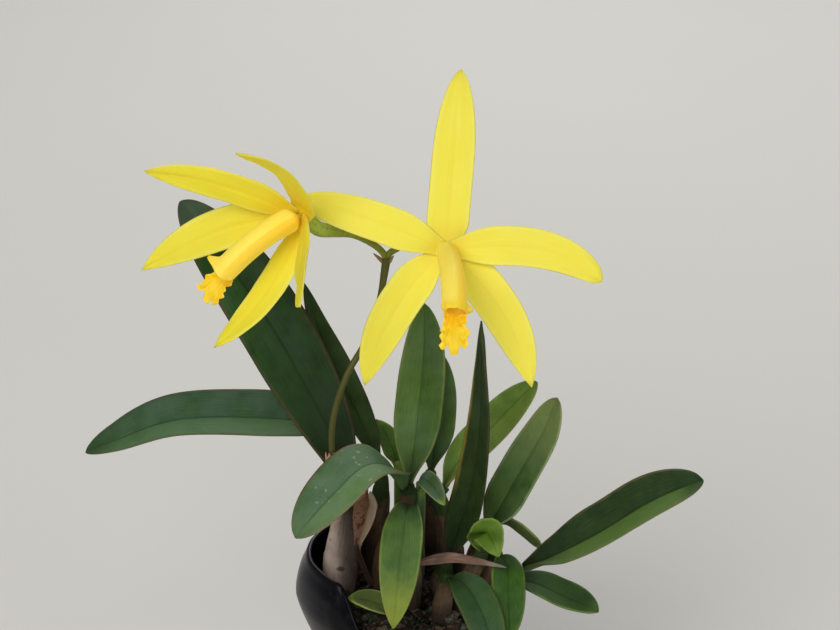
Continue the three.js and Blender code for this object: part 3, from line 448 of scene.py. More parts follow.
SHOOTS = [
    Growth("small_back", (-1, 16), 1.6, 5, 24, 0.4, 0.5, 0.85, [(-2.4, 17, 63.6), (-4.2, 17, 69.2),
           (-6.8, 17, 74)], (0.2, -0.9, 0.3), (0.3, -0.85, 0.3)),
    Growth("small_centre", (1.6, -0.8), 1.5, 4.6, 26, 0.35, 0.45, 0.8, [(2.9, -0.9, 66.2), (3.6, -2.7, 69),
           (5.5, -6.2, 68.8), (7.7, -9.4, 66.5)], (-0.3, -0.3, 0.9), (-0.3, -0.6, 0.7)),
    Growth("small_low_left", (-1.6, -12), 1.5, 5.2, 22, 0.4, 0.5, 0.8, [(-2.4, -12, 43), (-5.4, -12.6, 45),
           (-8.6, -13.2, 46.4), (-12.4, -14, 47.4)], (0, -0.6, 0.8), (0, -0.6, 0.8)),
    Growth("sliver_right", (16.5, 8), 1.7, 6, 20, 0.4, 0.5, 0.8, [(18.8, 6.6, 54.8), (21.2, 6, 55.2),
           (24.4, 5.4, 53), (28.4, 4.6, 49.6)], (0.3, 0.3, 0.9), (0.5, 0.5, 0.6)),
]
print("growths:", len(GROWTHS), " young shoots:", len(SHOOTS))

# %% [markdown]
# ## Leaves
# The leaf of a rock-growing cattleya is thick and stiff like leather, folded to a channel along its midrib,
# with a thin red or pale rim. Light comes off it softly, because a grey wax covers the green. A flat card
# with a picture would look the same from the front only. So the blade has its real thickness, a groove on
# top and a keel below.

# %% Leaf surface
LEAF_TIP, LEAF_CROWDING, LEAST_WIDTH = 2.2, 1.7, 0.02

def width_share(u, base, full, taper, tip, point):
    """A blade's width along it: from base at its foot up to 1 at full, and from taper on down to its tip."""
    rise = base + (1 - base) * np.sin(np.minimum(u / full, 1) * np.pi / 2)
    s = np.maximum(u - taper, 0) / (1 - taper)
    return np.maximum(rise * np.maximum(1 - s**tip, 0) ** point, LEAST_WIDTH)

def leaf_surface(leaf):
    line, looks = Line(leaf.rib), np.array([leaf.face_from, leaf.face_to], float)
    outline = dict(base=LEAF.base_share, full=leaf.full, taper=leaf.taper, tip=LEAF_TIP, point=leaf.blunt)
    phase = sum(leaf.foot)

    def surface(u, v):
        fold = np.radians(lerp(LEAF.base_fold, leaf.fold, smooth(u, 0, LEAF.fold_opens_by)))
        reach = leaf.width / 2 * width_share(u, **outline)
        wave = 0.16 * v**2 * np.sin(9 * u + phase + v) * smooth(u, 0.2, 0.5)
        lift = reach * np.abs(v) ** 1.25 * np.sin(fold) + wave
        return line.off(u, lerp(*looks, u[..., None]), reach * v * np.cos(fold), lift)

    return surface

def leaf_blade(shape, leaf, rows, columns):
    groove, keel = (0.16, 0.07), (0.3, 0.09)
    half = lambda v: lerp(LEAF.thick, LEAF.edge_thick, v * v) / 2
    ridge = lambda u, v, high, wide: high * (np.exp(-((v / wide) ** 2)) * np.minimum(6 * (1 - u), 1))
    upper = lambda u, v: half(v) - ridge(u, v, *groove)
    lower = lambda u, v: half(v) + ridge(u, v, *keel)
    return blade(shape, leaf_surface(leaf), upper, lower, rows, columns, LEAF_CROWDING)

# %% Leaf finish
def leaf_finish(name, deep, fresh, rim, tip, wax, tip_from=0.86, base=None, base_to=0.34, rim_side=0.0,
                split=0.0, dots=0.0):
    """Deep and fresh are the two greens, rim and tip the edge's and the end's colour, wax the grey cover.
    Split makes one half of the upper side fresher and the other deeper, as a fold takes the light. Base is
    painted shade that darkens the leaf towards its foot, up to base_to of its length."""
    pen, where = new_finish(name)
    along, across, side = point_values(pen, "along", "across", "side")
    upper = between(side, -0.2, 0.2)
    veins = grain(stretched(pen, along * 2.5, across * 13), 2.6, 4.0, 0.28)
    mottle = grain(where, 330.0, 3.0, 0.3)
    colour = blend(deep, fresh, veins * 0.45 + mottle * 0.35)
    cloud = grain(where, 120.0, 3.0, 0.32)
    colour = blend(colour, "#7E9486", cloud * wax * (0.35 + 0.65 * upper))
    if split:
        near_half = between(across * math.copysign(1, split), -0.06, 0.1)
        colour = blend(colour, fresh, near_half * upper * abs(split))
        colour = blend(colour, deep, (1 - near_half) * upper * abs(split))
    # Painted shade: the upper side darkens in the midrib's groove. The keel below is paler.
    groove = 1 - between(abs(across), 0.0, 0.085)
    colour = blend(colour, deep, groove * upper * 0.6)
    colour = blend(colour, fresh, groove * (1 - upper) * 0.55)
    colour = blend(colour, fresh, (1 - upper) * 0.3)
    # Painted shade: each leaf darkens towards its foot, where the leaves above shade it.
    foot = (1 - between(along, 0.02, base_to)) * (0.9 if base else 0.5)
    colour = blend(colour, base or "#10200C", foot)
    colour = blend(colour, tip, between(along + mottle * 0.05, tip_from, 1.0) * 0.8)
    edge = between(abs(across) + 0.04 * mottle, 0.9, 0.985)
    colour = blend(colour, rim, edge * (0.25 + 0.35 * cloud))
    if rim_side:
        stripe = between(across * rim_side + 0.05 * mottle, 0.74, 0.93) * between(along, 0.2, 0.5)
        colour = blend(colour, "#8A7A2C", stripe * 0.85)
    if dots:
        colour = blend(colour, "#B4C0A6", between(grain(where, 620.0, 1.0), 0.66, 0.72) * dots)
    fleck = between(grain(where, 1500.0, 2.0), 0.66, 0.74)
    colour = blend(colour, "#3B3A22", fleck * 0.3)
    relief = veins * 0.6 + grain(where, 2600.0, 2.0) * 0.25 + mottle * 0.5
    roughness = 0.44 + 0.2 * cloud + 0.08 * mottle
    return surface_of(pen, colour, roughness, relief, 0.00009, Specular_IOR_Level=0.22)

DARK = dict(deep="#12290F", fresh="#24451B", rim="#5C4030", tip="#36522A")
MID = dict(deep="#1F3F18", fresh="#3A6026", rim="#6A6A34", tip="#4E7030")
PALE = dict(deep="#3A5B1E", fresh="#688A34", rim="#A3B062", tip="#7C9C42")
# A look's base colour is painted shade at the leaf's foot, and its split paints light and shade on the two
# halves.
LEAF_LOOKS = {
    "tall_left": dict(DARK, deep="#142C0B", fresh="#33601A", wax=0.14, split=0.22, tip="#4A5C4C",
                      base="#102206", base_to=0.75),
    "slim_left": dict(DARK, deep="#1D3009", fresh="#3C5C18", wax=0.08),
    "level_left": dict(DARK, deep="#234326", fresh="#587C48", wax=0.32, split=0.5),
    "centre": dict(MID, deep="#38581E", fresh="#64843A", rim="#8E9450", wax=0.22, split=0.3),
    "centre_back": dict(MID, deep="#42632C", fresh="#688A44", wax=0.15),
    "twisted": dict(DARK, deep="#182A08", fresh="#2C4410", wax=0.06, rim_side=1.0),
    "pale_back": dict(PALE, deep="#587A2A", fresh="#98B452", wax=0.05, split=-0.3),
    "pale_right": dict(PALE, deep="#2E4C18", fresh="#587634", rim="#A2B080", tip="#7C8C50", tip_from=0.4,
                       wax=0.12, split=0.3),
    "long_right": dict(MID, deep="#0E2B04", fresh="#5E7E38", rim="#7A6A44", tip="#274420", wax=0.06,
                       split=-0.75),
    "low_right": dict(MID, deep="#18360A", fresh="#38591A", rim="#7C8C46", wax=0.05, split=-0.3),
    "folded_front": dict(PALE, deep="#3A5A12", fresh="#668624", rim="#A2B254", wax=0.05),
    "low_front": dict(MID, deep="#1E3C16", fresh="#3C5E28", wax=0.15, split=0.3),
    "low_front_right": dict(MID, deep="#264814", fresh="#4A7020", rim="#86983E", wax=0.06),
    "yellow_front": dict(PALE, deep="#385620", fresh="#5E7E34", rim="#94A24C", tip="#97A43E", tip_from=0.55,
                         wax=0.08, base="#122418"),
    "broad_left": dict(MID, deep="#365634", fresh="#6E9050", rim="#8A5A4A", tip="#5E7A50", wax=0.5, split=0.4,
                       dots=0.3),
}
print("leaf finishes:", len(LEAF_LOOKS))

# %% Fifteen leaves
LEAF_GRID, SHOOT_GRID = (64, 28), (44, 20)
for growth in GROWTHS:
    name = growth.name
    finish = leaf_finish(f"leaf_{name}_green", **LEAF_LOOKS[name])
    place(f"{name}_leaf", leaf_blade(Shape(), growth, *LEAF_GRID), finish, "leaf", [f"leaf_{name}"])
    report(f"{name}_leaf")

# %% [markdown]
# ## Bulbs
# Every leaf stands on a flask-shaped stem that stores water. Dry papery sheaths wrap it in layers, each
# with a slanting upper edge that ends in a point. Modelling each sheath as a sheet of its own would add
# many thin bodies that touch. Here one skin steps outwards where a sheath begins, which gives the same edge
# and shadow.

# %% Bulb form
RISE, UPRIGHT, LONGEST_NECK, NECK = 0.45, 0.35, 2.5, 0.4

def bulb_line(growth, beyond=-0.3):
    """A bulb rises upright from the mix and leans over into the way that its leaf sets out."""
    along = Line(growth.rib).along(np.array([0.0]))[0]
    end = np.array(growth.rib[0], float) + along * beyond
    foot = np.array([*growth.foot, BULB.foot_level], float)
    rise = (end[2] - foot[2]) * RISE
    middle = lerp(foot, end, 0.5)
    middle[:2] = lerp(middle[:2], foot[:2], UPRIGHT)
    middle[2] = foot[2] + rise
    below = end - along * min(LONGEST_NECK, rise * NECK)
    return Line([foot, middle, below, end])

SKIN_INSET, SHEATH_STEP, SHEATH_EDGE = 0.12, 0.17, 0.012

def bulb_radius(growth, layers, seed):
    rng = np.random.default_rng(seed)
    turns, slants = rng.uniform(0, 2 * np.pi, len(layers)), rng.uniform(0.05, 0.1, len(layers))
    stout, stout_at = growth.stout, BULB.stout_at

    def radius(u, angle):
        low = lerp(BULB.foot_share, 1, np.sin(np.minimum(u / stout_at, 1) * np.pi / 2))
        past = np.clip((u - stout_at) / (1 - stout_at), 0, 1)
        high = lerp(BULB.neck / stout, 1, np.cos(past * np.pi / 2) ** 0.8)
        plain = stout * np.where(u < stout_at, low, high) - SKIN_INSET
        for edge, turn, slant in zip(layers, turns, slants):
            rim = edge + slant * np.cos(angle - turn) + 0.012 * np.sin(5 * angle + turn)
            plain = plain + SHEATH_STEP * (1 - smooth(u, rim - SHEATH_EDGE, rim + SHEATH_EDGE))
        return plain + 0.05 * np.sin(9 * angle + 3 * np.sin(5 * u)) * smooth(u, 0, 0.1)

    return radius

# %% Sheath finish
def sheath_finish(name, pale, brown, green, green_from=0.85, foot_soil_and_shade=0.5, foot_soil_and_shade_to=0.5, fibres=1.0,
                  shade_and_scar_at=None):
    """A papery bulb: pale and brown fibres run up it, green shows above, and its foot is darkened, partly by
    earth from the mix and partly by painted shade. The last argument names a place on the bulb's middle
    line and its radius, in metres: painted shade darkens the bulb to its right, and a dark scar sits there."""
    pen, where = new_finish(name)
    along, cosine, sine = point_values(pen, "along", "across", "side")
    fibre = grain(stretched(pen, cosine * 9, sine * 9, along * 1.3), 2.4, 5.0, 0.25)
    patch = grain(where, 260.0, 4.0, 0.3)
    colour = blend(pale, brown, fibre * 0.45 * fibres + patch * 0.4)
    colour = blend(colour, green, between(along + patch * 0.12, green_from, green_from + 0.12))
    scar = between(grain(where, 700.0, 3.0), 0.62, 0.7)
    colour = blend(colour, "#5B3F30", scar * 0.45)
    # Painted shade: old marks the bulb's right side, which is painted dark brown where the light does not
    # reach. Worn is a small dark scar.
    if shade_and_scar_at:
        x, z = (pen.node("ShaderNodeSeparateXYZ", None, {"Vector": where}, out=axis) for axis in "XZ")
        old = between((x - shade_and_scar_at[0]) * (1 / shade_and_scar_at[2]) + 0.25 * fibre + 0.1 * patch, -0.6, 0.6)
        colour = blend(colour, "#35271E", old * 0.88)
        aside, above = (x - shade_and_scar_at[0]) * 800, (z - shade_and_scar_at[1]) * 1500
        worn = aside * aside + above * above + 1.8 * grain(where, 1100.0, 3.0)
        colour = blend(colour, "#1E130D", (1 - between(worn, 1.1, 2.0)) * 0.75)
    # The foot darkens towards the mix: partly earth from the mix, partly painted shade.
    soil_and_shade = (1 - between(along + patch * 0.1, foot_soil_and_shade_to * 0.6, foot_soil_and_shade_to)) * foot_soil_and_shade
    colour = blend(colour, "#1E1712", soil_and_shade)
    relief = fibres * fibre + 0.5 * patch + grain(where, 3000.0, 2.0) * 0.3
    return surface_of(pen, colour, 0.62 + 0.2 * fibre, relief, 0.00022, Specular_IOR_Level=0.35)

BULB_LOOKS = {
    # The tall left bulb's dark right side and most of its dark foot are painted shade; its small dark spot is
    # a scar.
    "tall_left": dict(pale="#C8B6A9", brown="#A08C7F", green="#5E6E38", green_from=0.92, foot_soil_and_shade=0.8,
                      foot_soil_and_shade_to=0.16, fibres=0.25, shade_and_scar_at=(-0.0141, 0.0485, 0.0034)),
    "broad_left": dict(pale="#6E4A2C", brown="#4A2C18", green="#2C4418", green_from=0.86, foot_soil_and_shade=0.6),
    "level_left": dict(pale="#BFA996", brown="#8C6D59", green="#5B7440", green_from=0.85, foot_soil_and_shade=0.5),
}
PLAIN_BULB = dict(pale="#8C745C", brown="#5E4632", green="#3C5620", green_from=0.72, foot_soil_and_shade=0.7)

# %% Fifteen bulbs
BULB_GRID, BULB_SEED, TALL_BULB = (72, 44), 300, 58
for number, growth in enumerate(GROWTHS):
    name = growth.name
    finish = sheath_finish(f"bulb_{name}_sheath", **BULB_LOOKS.get(name, PLAIN_BULB))
    layers = (0.42, 0.7, 0.93) if growth.rib[0][2] > TALL_BULB else (0.5, 0.9)
    body = stalk(Shape(), bulb_line(growth), bulb_radius(growth, layers, BULB_SEED + number), *BULB_GRID)
    place(f"{name}_bulb", body, finish, "bulb", [f"bulb_{name}"])
    report(f"{name}_bulb")

# %% [markdown]
# ## Young shoots
# A young growth is green from its foot to its tip and has no dry sheath yet. Its stem and its leaf are one
# piece of plant, so they are one piece here, with the stem running a little way into the folded leaf base.

# %% Four shoots
SHOOT_LOOK = dict(deep="#3F6224", fresh="#6F9038", rim="#B2C06C", tip="#86A040", wax=0.05)
SHOOT_LOOKS = {
    "small_centre": dict(SHOOT_LOOK, deep="#34502C", fresh="#50683E", rim="#A0AC84", tip="#7E9A3C", wax=0.3),
    "sliver_right": dict(SHOOT_LOOK, deep="#47582C", fresh="#62743C"),
    "small_low_left": dict(SHOOT_LOOK, deep="#3A4A18", fresh="#5E6A24"),
}
SHOOT_STEM_GRID, SHOOT_SEED = (40, 28), 500
for number, shoot in enumerate(SHOOTS):
    name = shoot.name
    finish = leaf_finish(f"shoot_{name}_green", **SHOOT_LOOKS.get(name, SHOOT_LOOK))
    radius = bulb_radius(shoot, (0.5,), SHOOT_SEED + number)
    body = stalk(Shape(), bulb_line(shoot, 0.9), radius, *SHOOT_STEM_GRID)
    leaf_blade(body, shoot, *SHOOT_GRID)
    place(f"{name}_shoot", body, finish, "young_leaf", [f"shoot_{name}"])
    report(f"{name}_shoot")

# %% [markdown]
# ## Rhizome and roots
# The creeping stem lies half sunk in the bark and joins the bulbs. It is ringed where old scale leaves sat.
# Its runs are tubes through the bulbs' feet that go a little into each other, which is how a branching stem
# looks.

# %% Rhizome
RHIZOME = Measures(level=39.9, radius=1.5, beyond=0.6)
RINGS_A_RUN, STEPS_A_RUN, RHIZOME_SIDES = 4, 30, 26
RUNS = [run.split() for run in (
    "level_left tall_left broad_left yellow_front small_centre",
    "small_back slim_left centre small_centre twisted folded_front low_front_right low_right",
    "centre centre_back pale_back pale_right sliver_right",
    "pale_right long_right",
    "yellow_front small_low_left",
    "folded_front low_front",
)]
feet = {growth.name: growth.foot for growth in GROWTHS + SHOOTS}

def ringed(rings, seed):
    def radius(u, angle):
        scale = (u * rings + 0.1 * np.sin(angle + seed)) % 1.0
        return RHIZOME.radius - 0.1 + 0.18 * scale**2 + 0.05 * np.sin(3 * angle + seed)

    return radius

rhizome = Shape()
for number, run in enumerate(RUNS):
    points = [np.array([*feet[name], RHIZOME.level], float) for name in run]
    points[0] = points[0] + unit(points[0] - points[1]) * RHIZOME.beyond
    points[-1] = points[-1] + unit(points[-1] - points[-2]) * RHIZOME.beyond
    parts = len(run) - 1
    stalk(rhizome, Line(points), ringed(RINGS_A_RUN * parts, number), STEPS_A_RUN * parts, RHIZOME_SIDES)

def rhizome_finish():
    pen, where = new_finish("rhizome_bark")
    fibre, patch = grain(where, 900.0, 4.0, 0.25), grain(where, 220.0, 3.0, 0.3)
    colour = blend("#8C7058", "#5C4435", fibre * 0.6)
    colour = blend(colour, "#A79A80", patch * 0.4)
    return surface_of(pen, colour, 0.72 + 0.15 * fibre, fibre + patch, 0.0003, Specular_IOR_Level=0.3)

place("creeping_rhizome", rhizome, rhizome_finish(), "rhizome", ["rhizome"])
report("creeping_rhizome")

# %% [markdown]
# ## The pot
# The pot is soft black plastic, thin enough to be squeezed, and its wall stands higher at the left. It is
# turned on a wheel in code: a profile goes round the axis, and every point is then moved by the same rule
# as the solid's. Drain holes are cut with a Boolean, the tool for a plain round hole in a plain floor.

# %% Pot form
POT = Measures(
    profile=[(15, 0), (16.6, 14), (18.2, 28), (19.4, 32), (21.6, 36), (21.9, 38.5), (21.4, 40.6), (21, 41)],
    wall=1.1, floor=1.3,
    rise=10.5, rise_from=128, rise_to=236, rise_off=(34, 9), rise_starts=30, rise_ends=40.5,
    bulge=2, bulge_height=36,
    drain_holes=4, drain_radius=1.8, drain_circle=10.5,
)

def risen(angle, radius, z):
    """The rule that makes a plain wall stand higher and further out at the left."""
    before, after = POT.rise_off
    share = smooth(angle, POT.rise_from - before, POT.rise_from)
    share = share * (1 - smooth(angle, POT.rise_to - after, POT.rise_to + after))
    bulge_from, bulge_at, bulge_to = POT.rise_starts, POT.bulge_height, POT.rise_ends
    hump = smooth(z, bulge_from, bulge_at) * (1 - smooth(z, bulge_at, bulge_to))
    raised = z + share * POT.rise * smooth(z, bulge_from, bulge_to)
    return radius + share * POT.bulge * hump, raised

def finer(profile, step=0.7):
    """The same profile with a point at least every step."""
    made = []
    for (r0, z0), (r1, z1) in zip(profile, profile[1:]):
        count = max(1, round(math.hypot(r1 - r0, z1 - z0) / step))
        made += [(lerp(r0, r1, k / count), lerp(z0, z1, k / count)) for k in range(count)]
    return made + [tuple(profile[-1])]

POT_SIDES = 168

def turned_pot():
    outer = finer(POT.profile)
    wall, floor_z = POT.wall, POT.floor
    top_r, top_z = POT.profile[-1]
    lip = [(top_r - 0.25, top_z + 0.02), (top_r - 0.6, top_z - 0.1)]
    inner = [(r - wall, z) for r, z in POT.profile][1:-1][::-1]
    inner = finer([*inner, (POT.profile[0][0] - wall, floor_z)])
    profile = np.array(outer + lip + inner)
    angle = 2 * np.pi * np.arange(POT_SIDES) / POT_SIDES
    radius, z = risen(np.degrees(angle)[None, :], profile[:, :1], profile[:, 1:])
    dent = 0.1 * np.sin(5 * angle + z * 0.11) + 0.06 * np.sin(11 * angle - z * 0.2)
    radius = radius + dent * smooth(z, 6, 24)
    rings = np.stack([radius * np.cos(angle), radius * np.sin(angle), z], axis=-1)
    return rings[:, ::-1]

DRILL_SIDES, DRILL_LENGTH = 40, 0.005

def drilled(mesh_object):
    """Cuts the drain holes, with round cutters that stand through the pot's floor."""
    drill = bmesh.new()
    radius, circle = POT.drain_radius * MM, POT.drain_circle * MM
    for k in range(POT.drain_holes):
        turn = 2 * math.pi * (k + 0.5) / POT.drain_holes
        made = bmesh.ops.create_cone(drill, cap_ends=True, segments=DRILL_SIDES, radius1=radius,
                                     radius2=radius, depth=DRILL_LENGTH)
        spot = (circle * math.cos(turn), circle * math.sin(turn), 0)
        bmesh.ops.translate(drill, verts=made["verts"], vec=spot)
    cutter_mesh = bpy.data.meshes.new("cutter")
    drill.to_mesh(cutter_mesh)
    drill.free()
    cutter = bpy.data.objects.new("cutter", cutter_mesh)
    bpy.context.scene.collection.objects.link(cutter)
    cut = mesh_object.modifiers.new("drain", "BOOLEAN")
    cut.operation, cut.solver, cut.object = "DIFFERENCE", "EXACT", cutter
    whole = bpy.data.meshes.new_from_object(mesh_object.evaluated_get(bpy.context.evaluated_depsgraph_get()))
    mesh_object.modifiers.clear()
    mesh_object.data = whole
    bpy.data.objects.remove(cutter)

# %% Pot finish
def pot_finish():
    """Black plastic with a purple sheen, faint scuffs, a little lime near the foot and dust on the rim."""
    pen, where = new_finish("soft_black_plastic")
    height = pen.node("ShaderNodeSeparateXYZ", None, {0: where}, out="Z") * 1000
    cloud, fine = grain(where, 70.0, 3.0, 0.3), grain(where, 1800.0, 3.0)
    scuff = between(grain(where, 420.0, 6.0), 0.62, 0.72)
    colour = blend("#040306", "#0A0810", cloud)
    colour = blend(colour, "#1E1C24", scuff * 0.15)
    lime = (1 - between(height + cloud * 10, 3.0, 16.0)) * between(grain(where, 160.0, 5.0), 0.45, 0.65)
    colour = blend(colour, "#6E6A62", lime * 0.3)
    dust = between(height + cloud * 5, 38.0, 47.0) * between(grain(where, 500.0, 4.0), 0.5, 0.68)
    colour = blend(colour, "#3A3436", dust * 0.08)
    roughness = 0.24 + 0.1 * cloud + 0.16 * scuff + 0.2 * lime
    relief = cloud + 0.12 * fine + 0.15 * scuff
    return surface_of(pen, colour, roughness, relief, 0.00006, Specular_IOR_Level=0.16)

pot_rings = turned_pot()
blank = np.zeros(pot_rings.shape[:2])
pot_shape = skin(Shape(), pot_rings, blank, blank, blank)
pot_piece = place("soft_pot", pot_shape, pot_finish(), "pot_plastic", ["pot"])
drilled(pot_piece)
report("soft_pot")

# %% [markdown]
# ## Potting mix
# The mix is coarse bark with grey-green chips, crumbs between them and a little moss. A bumped flat top
# would show as a disc from the side, so the chips are real lumps. Each is a rounded slab that is squeezed,
# turned and sunk by a seeded rule, and all of them are one piece that fills the pot.

# %% Mix form
MIX = Measures(
    edge_height=39.4, heap=1.2, clear=0.55, levels=(14, 28, 31, 34, 37),
    chips=60, chip_radius=3.4, chip_rise=1.5, seed=41,
)

def inner_radius(angle, height):
    """How far it is from the pot's middle to its wall, this way and at this height."""
    wall = [risen(angle, np.float64(r - POT.wall), np.float64(z)) for r, z in POT.profile]
    return float(np.interp(height, [float(z) for _, z in wall], [float(r) for r, _ in wall]))

def seeded(state, factor=16807, modulus=2147483647):
    """The same row of random shares as the solids were made with."""
    while True:
        state = state * factor % modulus
        yield state / modulus

mix_reach = inner_radius(0, MIX.edge_height)
draw = seeded(MIX.seed)
flats = []
for _ in range(MIX.chips):
    turn, far = 2 * math.pi * next(draw), mix_reach * math.sqrt(next(draw))
    size, rise = MIX.chip_radius * (0.6 + 0.6 * next(draw)), MIX.chip_rise * next(draw)
    tilt = 0.5 * (next(draw) - 0.5), 0.5 * (next(draw) - 0.5)
    flats.append((far * math.cos(turn), far * math.sin(turn), size, rise, *tilt))

def mix_height(x, y):
    """The solid's top: a low heap with flat tilted chips on it."""
    high = MIX.edge_height + MIX.heap * (1 - (x**2 + y**2) / mix_reach**2)
    risen_by = [rise + tx * (x - cx) + ty * (y - cy) for cx, cy, size, rise, tx, ty in flats
                if math.hypot(x - cx, y - cy) < size]
    return high + max([0.0, *risen_by])

CRUMB_SEED, SUNK, CRUMBLE = 7, 0.5, 0.25

def mix_body(shape, sides=120, circles=40):
    """The ground between the chips: a body that fills the pot, with a crumbly top."""
    rng = np.random.default_rng(CRUMB_SEED)
    angle = 360 * np.arange(sides) / sides
    compass = np.stack([np.cos(np.radians(angle)), np.sin(np.radians(angle))], axis=-1)
    rings = []
    for z in [POT.floor + 0.3, *MIX.levels]:
        far = np.array([inner_radius(a, z) - MIX.clear for a in angle])[:, None]
        rings.append(np.hstack([far * compass, np.full((sides, 1), z)]))
    brim = np.array([inner_radius(a, MIX.edge_height) - MIX.clear for a in angle])[:, None]
    for share in 1 - np.arange(circles) / circles:
        flat = brim * share * compass
        high = np.array([[mix_height(*p) - SUNK + rng.uniform(-CRUMBLE, CRUMBLE)] for p in flat])
        rings.append(np.hstack([flat, high]))
    rings = np.array(rings)[:, ::-1]
    blank = np.zeros(rings.shape[:2])
    return skin(shape, rings, blank, blank, blank, 0.12)

# %% Bark chips, crumbs and moss
def lump_form(levels):
    """A ball of triangles, as points and faces."""
    ball = bmesh.new()
    bmesh.ops.create_icosphere(ball, subdivisions=levels, radius=1.0)
    points = np.array([v.co for v in ball.verts])
    faces = [[v.index for v in f.verts] for f in ball.faces]
    ball.free()
    return points, faces

def add_lumps(shape, rng, count, size, levels, squareness, tones):
    """Rounded slabs that are squeezed, turned, kept inside the pot and sunk into the ground."""
    ball, faces = lump_form(levels)
    for _ in range(count):
        turn, far = rng.uniform(0, 2 * math.pi), (mix_reach - 1.6) * math.sqrt(rng.uniform())
        x, y = far * math.cos(turn), far * math.sin(turn)
        half = rng.uniform(*size) * np.array([1.0, rng.uniform(0.5, 0.85), rng.uniform(0.22, 0.45)])
        form = np.sign(ball) * np.abs(ball) ** squareness
        form = form * (1 + rng.uniform(-0.13, 0.13, (len(ball), 1))) * half
        tip, roll = rng.normal(0, 0.35), rng.normal(0, 0.35)
        yaw = rng.uniform(0, 2 * math.pi)
        tipped = Vector((0, 0, 1)).rotation_difference(Vector((tip, roll, 1)).normalized())
        spin = np.array(tipped.to_matrix())
        flat = np.array([[math.cos(yaw), -math.sin(yaw), 0], [math.sin(yaw), math.cos(yaw), 0], [0, 0, 1]])
        form = form @ flat.T @ spin.T
        room = mix_reach - 0.3 - np.hypot(form[:, 0] + x, form[:, 1] + y).max()
        if room < 0:
            x, y = x * (1 + room / far), y * (1 + room / far)
        shape.add(form + (x, y, mix_height(x, y) + half[2] * 0.25), faces, along=rng.uniform(),
                  tone=rng.choice(tones))

def add_moss(shape, rng, patches, sprigs):
    """Sprigs of moss: three-sided blades that lean every way out of their patch."""
    for x0, y0, wide in patches:
        for _ in range(sprigs):
            x, y = x0 + rng.normal(0, wide), y0 + rng.normal(0, wide)
            if math.hypot(x, y) > mix_reach - 0.8:
                continue
            foot = np.array([x, y, mix_height(x, y) - 0.2])
            lean = np.array([rng.normal(0, 0.5), rng.normal(0, 0.5), 1.0]) * rng.uniform(0.8, 2.0)
            line = Line([foot, foot + lean * 0.5, foot + lean + (0, 0, -0.15)])
            stalk(shape, line, lambda u, angle: 0.13 * (1 - 0.85 * u), 3, 3, tone=0.9)

LUMPS = [
    dict(count=230, size=(1.1, 2.7), levels=2, squareness=0.62, tones=(0.3, 0.4, 0.5, 0.5, 0.6, 0.75)),
    dict(count=700, size=(0.3, 0.8), levels=1, squareness=0.8, tones=(0.2, 0.35, 0.5, 0.75)),
]
MOSS = [(3, -15, 2.2), (10, -13, 1.8), (-9, -11, 1.6), (14, 8, 2.0), (-8, 15, 2.2), (5, 17, 1.6)]
rng = np.random.default_rng(MIX.seed)
mix = mix_body(Shape())
for kind in LUMPS:
    add_lumps(mix, rng, **kind)
add_moss(mix, rng, MOSS, sprigs=110)

# %% Mix finish
def mix_finish():
    """Tone says what a lump is: dark ground, bark, a grey-green chip or moss."""
    pen, where = new_finish("bark_mix")
    tone, own = point_values(pen, "tone", "along")
    stops = [(0.0, "#0E0B09"), (0.28, "#1C130E"), (0.45, "#2B1D13"), (0.62, "#3C2C1E"), (0.75, "#5A6456"),
             (0.9, "#3F5A2C")]
    stops = [(at, paint(code)) for at, code in stops]
    colour = pen.node("ShaderNodeValToRGB", {"stops": stops}, {0: tone}, out="Color")
    stretch = zip("XYZ", (500, 500, 2600))
    parts = [pen.node("ShaderNodeSeparateXYZ", None, {0: where}, out=axis) * by for axis, by in stretch]
    layer = grain(stretched(pen, *parts), 1.0, 5.0, 0.3)
    patch = grain(where, 700.0, 4.0, 0.3)
    colour = blend(colour, "#0E0B09", layer * 0.5)
    colour = blend(colour, "#8A7A66", between(patch + own * 0.2, 0.7, 1.0) * 0.35)
    return surface_of(pen, colour, 0.86 + 0.1 * patch, layer + patch, 0.0004, Specular_IOR_Level=0.25)

place("bark_mix", mix, mix_finish(), "potting_mix", ["potting_mix"], smooth_faces=False)
report("bark_mix")

# %% [markdown]
# ## Flower stem, sheaths and bracts
# The thin olive stem leaves a papery sheath on the tall left bulb and forks behind the front bloom, where
# two small pale bracts stand. A dry pink-brown sheath lies across the front. Bracts and sheaths are blades
# like the leaves, because a sheet that wraps or folds is what they are.

# %% Stem and bracts
SCAPE = Measures(
    route=[(-14.7, -0.9, 65), (-15.6, -0.8, 73.3), (-15.4, -0.6, 81.9), (-12.6, 0, 91.4), (-8.5, 2, 98.4),
           (-5.8, 3.5, 106.2), (-4.2, 4.6, 115.8)],
    radius=0.66, fork_swell=0.3,
    bracts=[[(-4.4, 4.6, 114.4), (-7, 3.9, 116.9)], [(-4.1, 4.6, 114.6), (-2.7, 2.6, 116.9)]],
)

def stem_radius(u, angle):
    plain = SCAPE.radius * (1 + SCAPE.fork_swell * smooth(u, 0.85, 1))
    return plain * (1 + 0.05 * np.sin(5 * angle + 9 * u))

def bract_surface(ends):
    """A small boat-shaped scale that hugs the stem's fork."""
    line, up, curl, half_width = Line(ends), np.array([0, -0.75, 0.65]), 1.3, 0.6

    def surface(u, v):
        half = half_width * width_share(u, base=0.8, full=0.2, taper=0.25, tip=1.3, point=0.9)
        lift = half * 0.9 * (1 - np.cos(curl * v)) * (1 - 0.4 * u)
        return line.off(u, up, half * np.sin(curl * v) / curl, -lift)

    return surface

def paper(half_thick):
    return lambda u, v: np.full_like(u, half_thick)

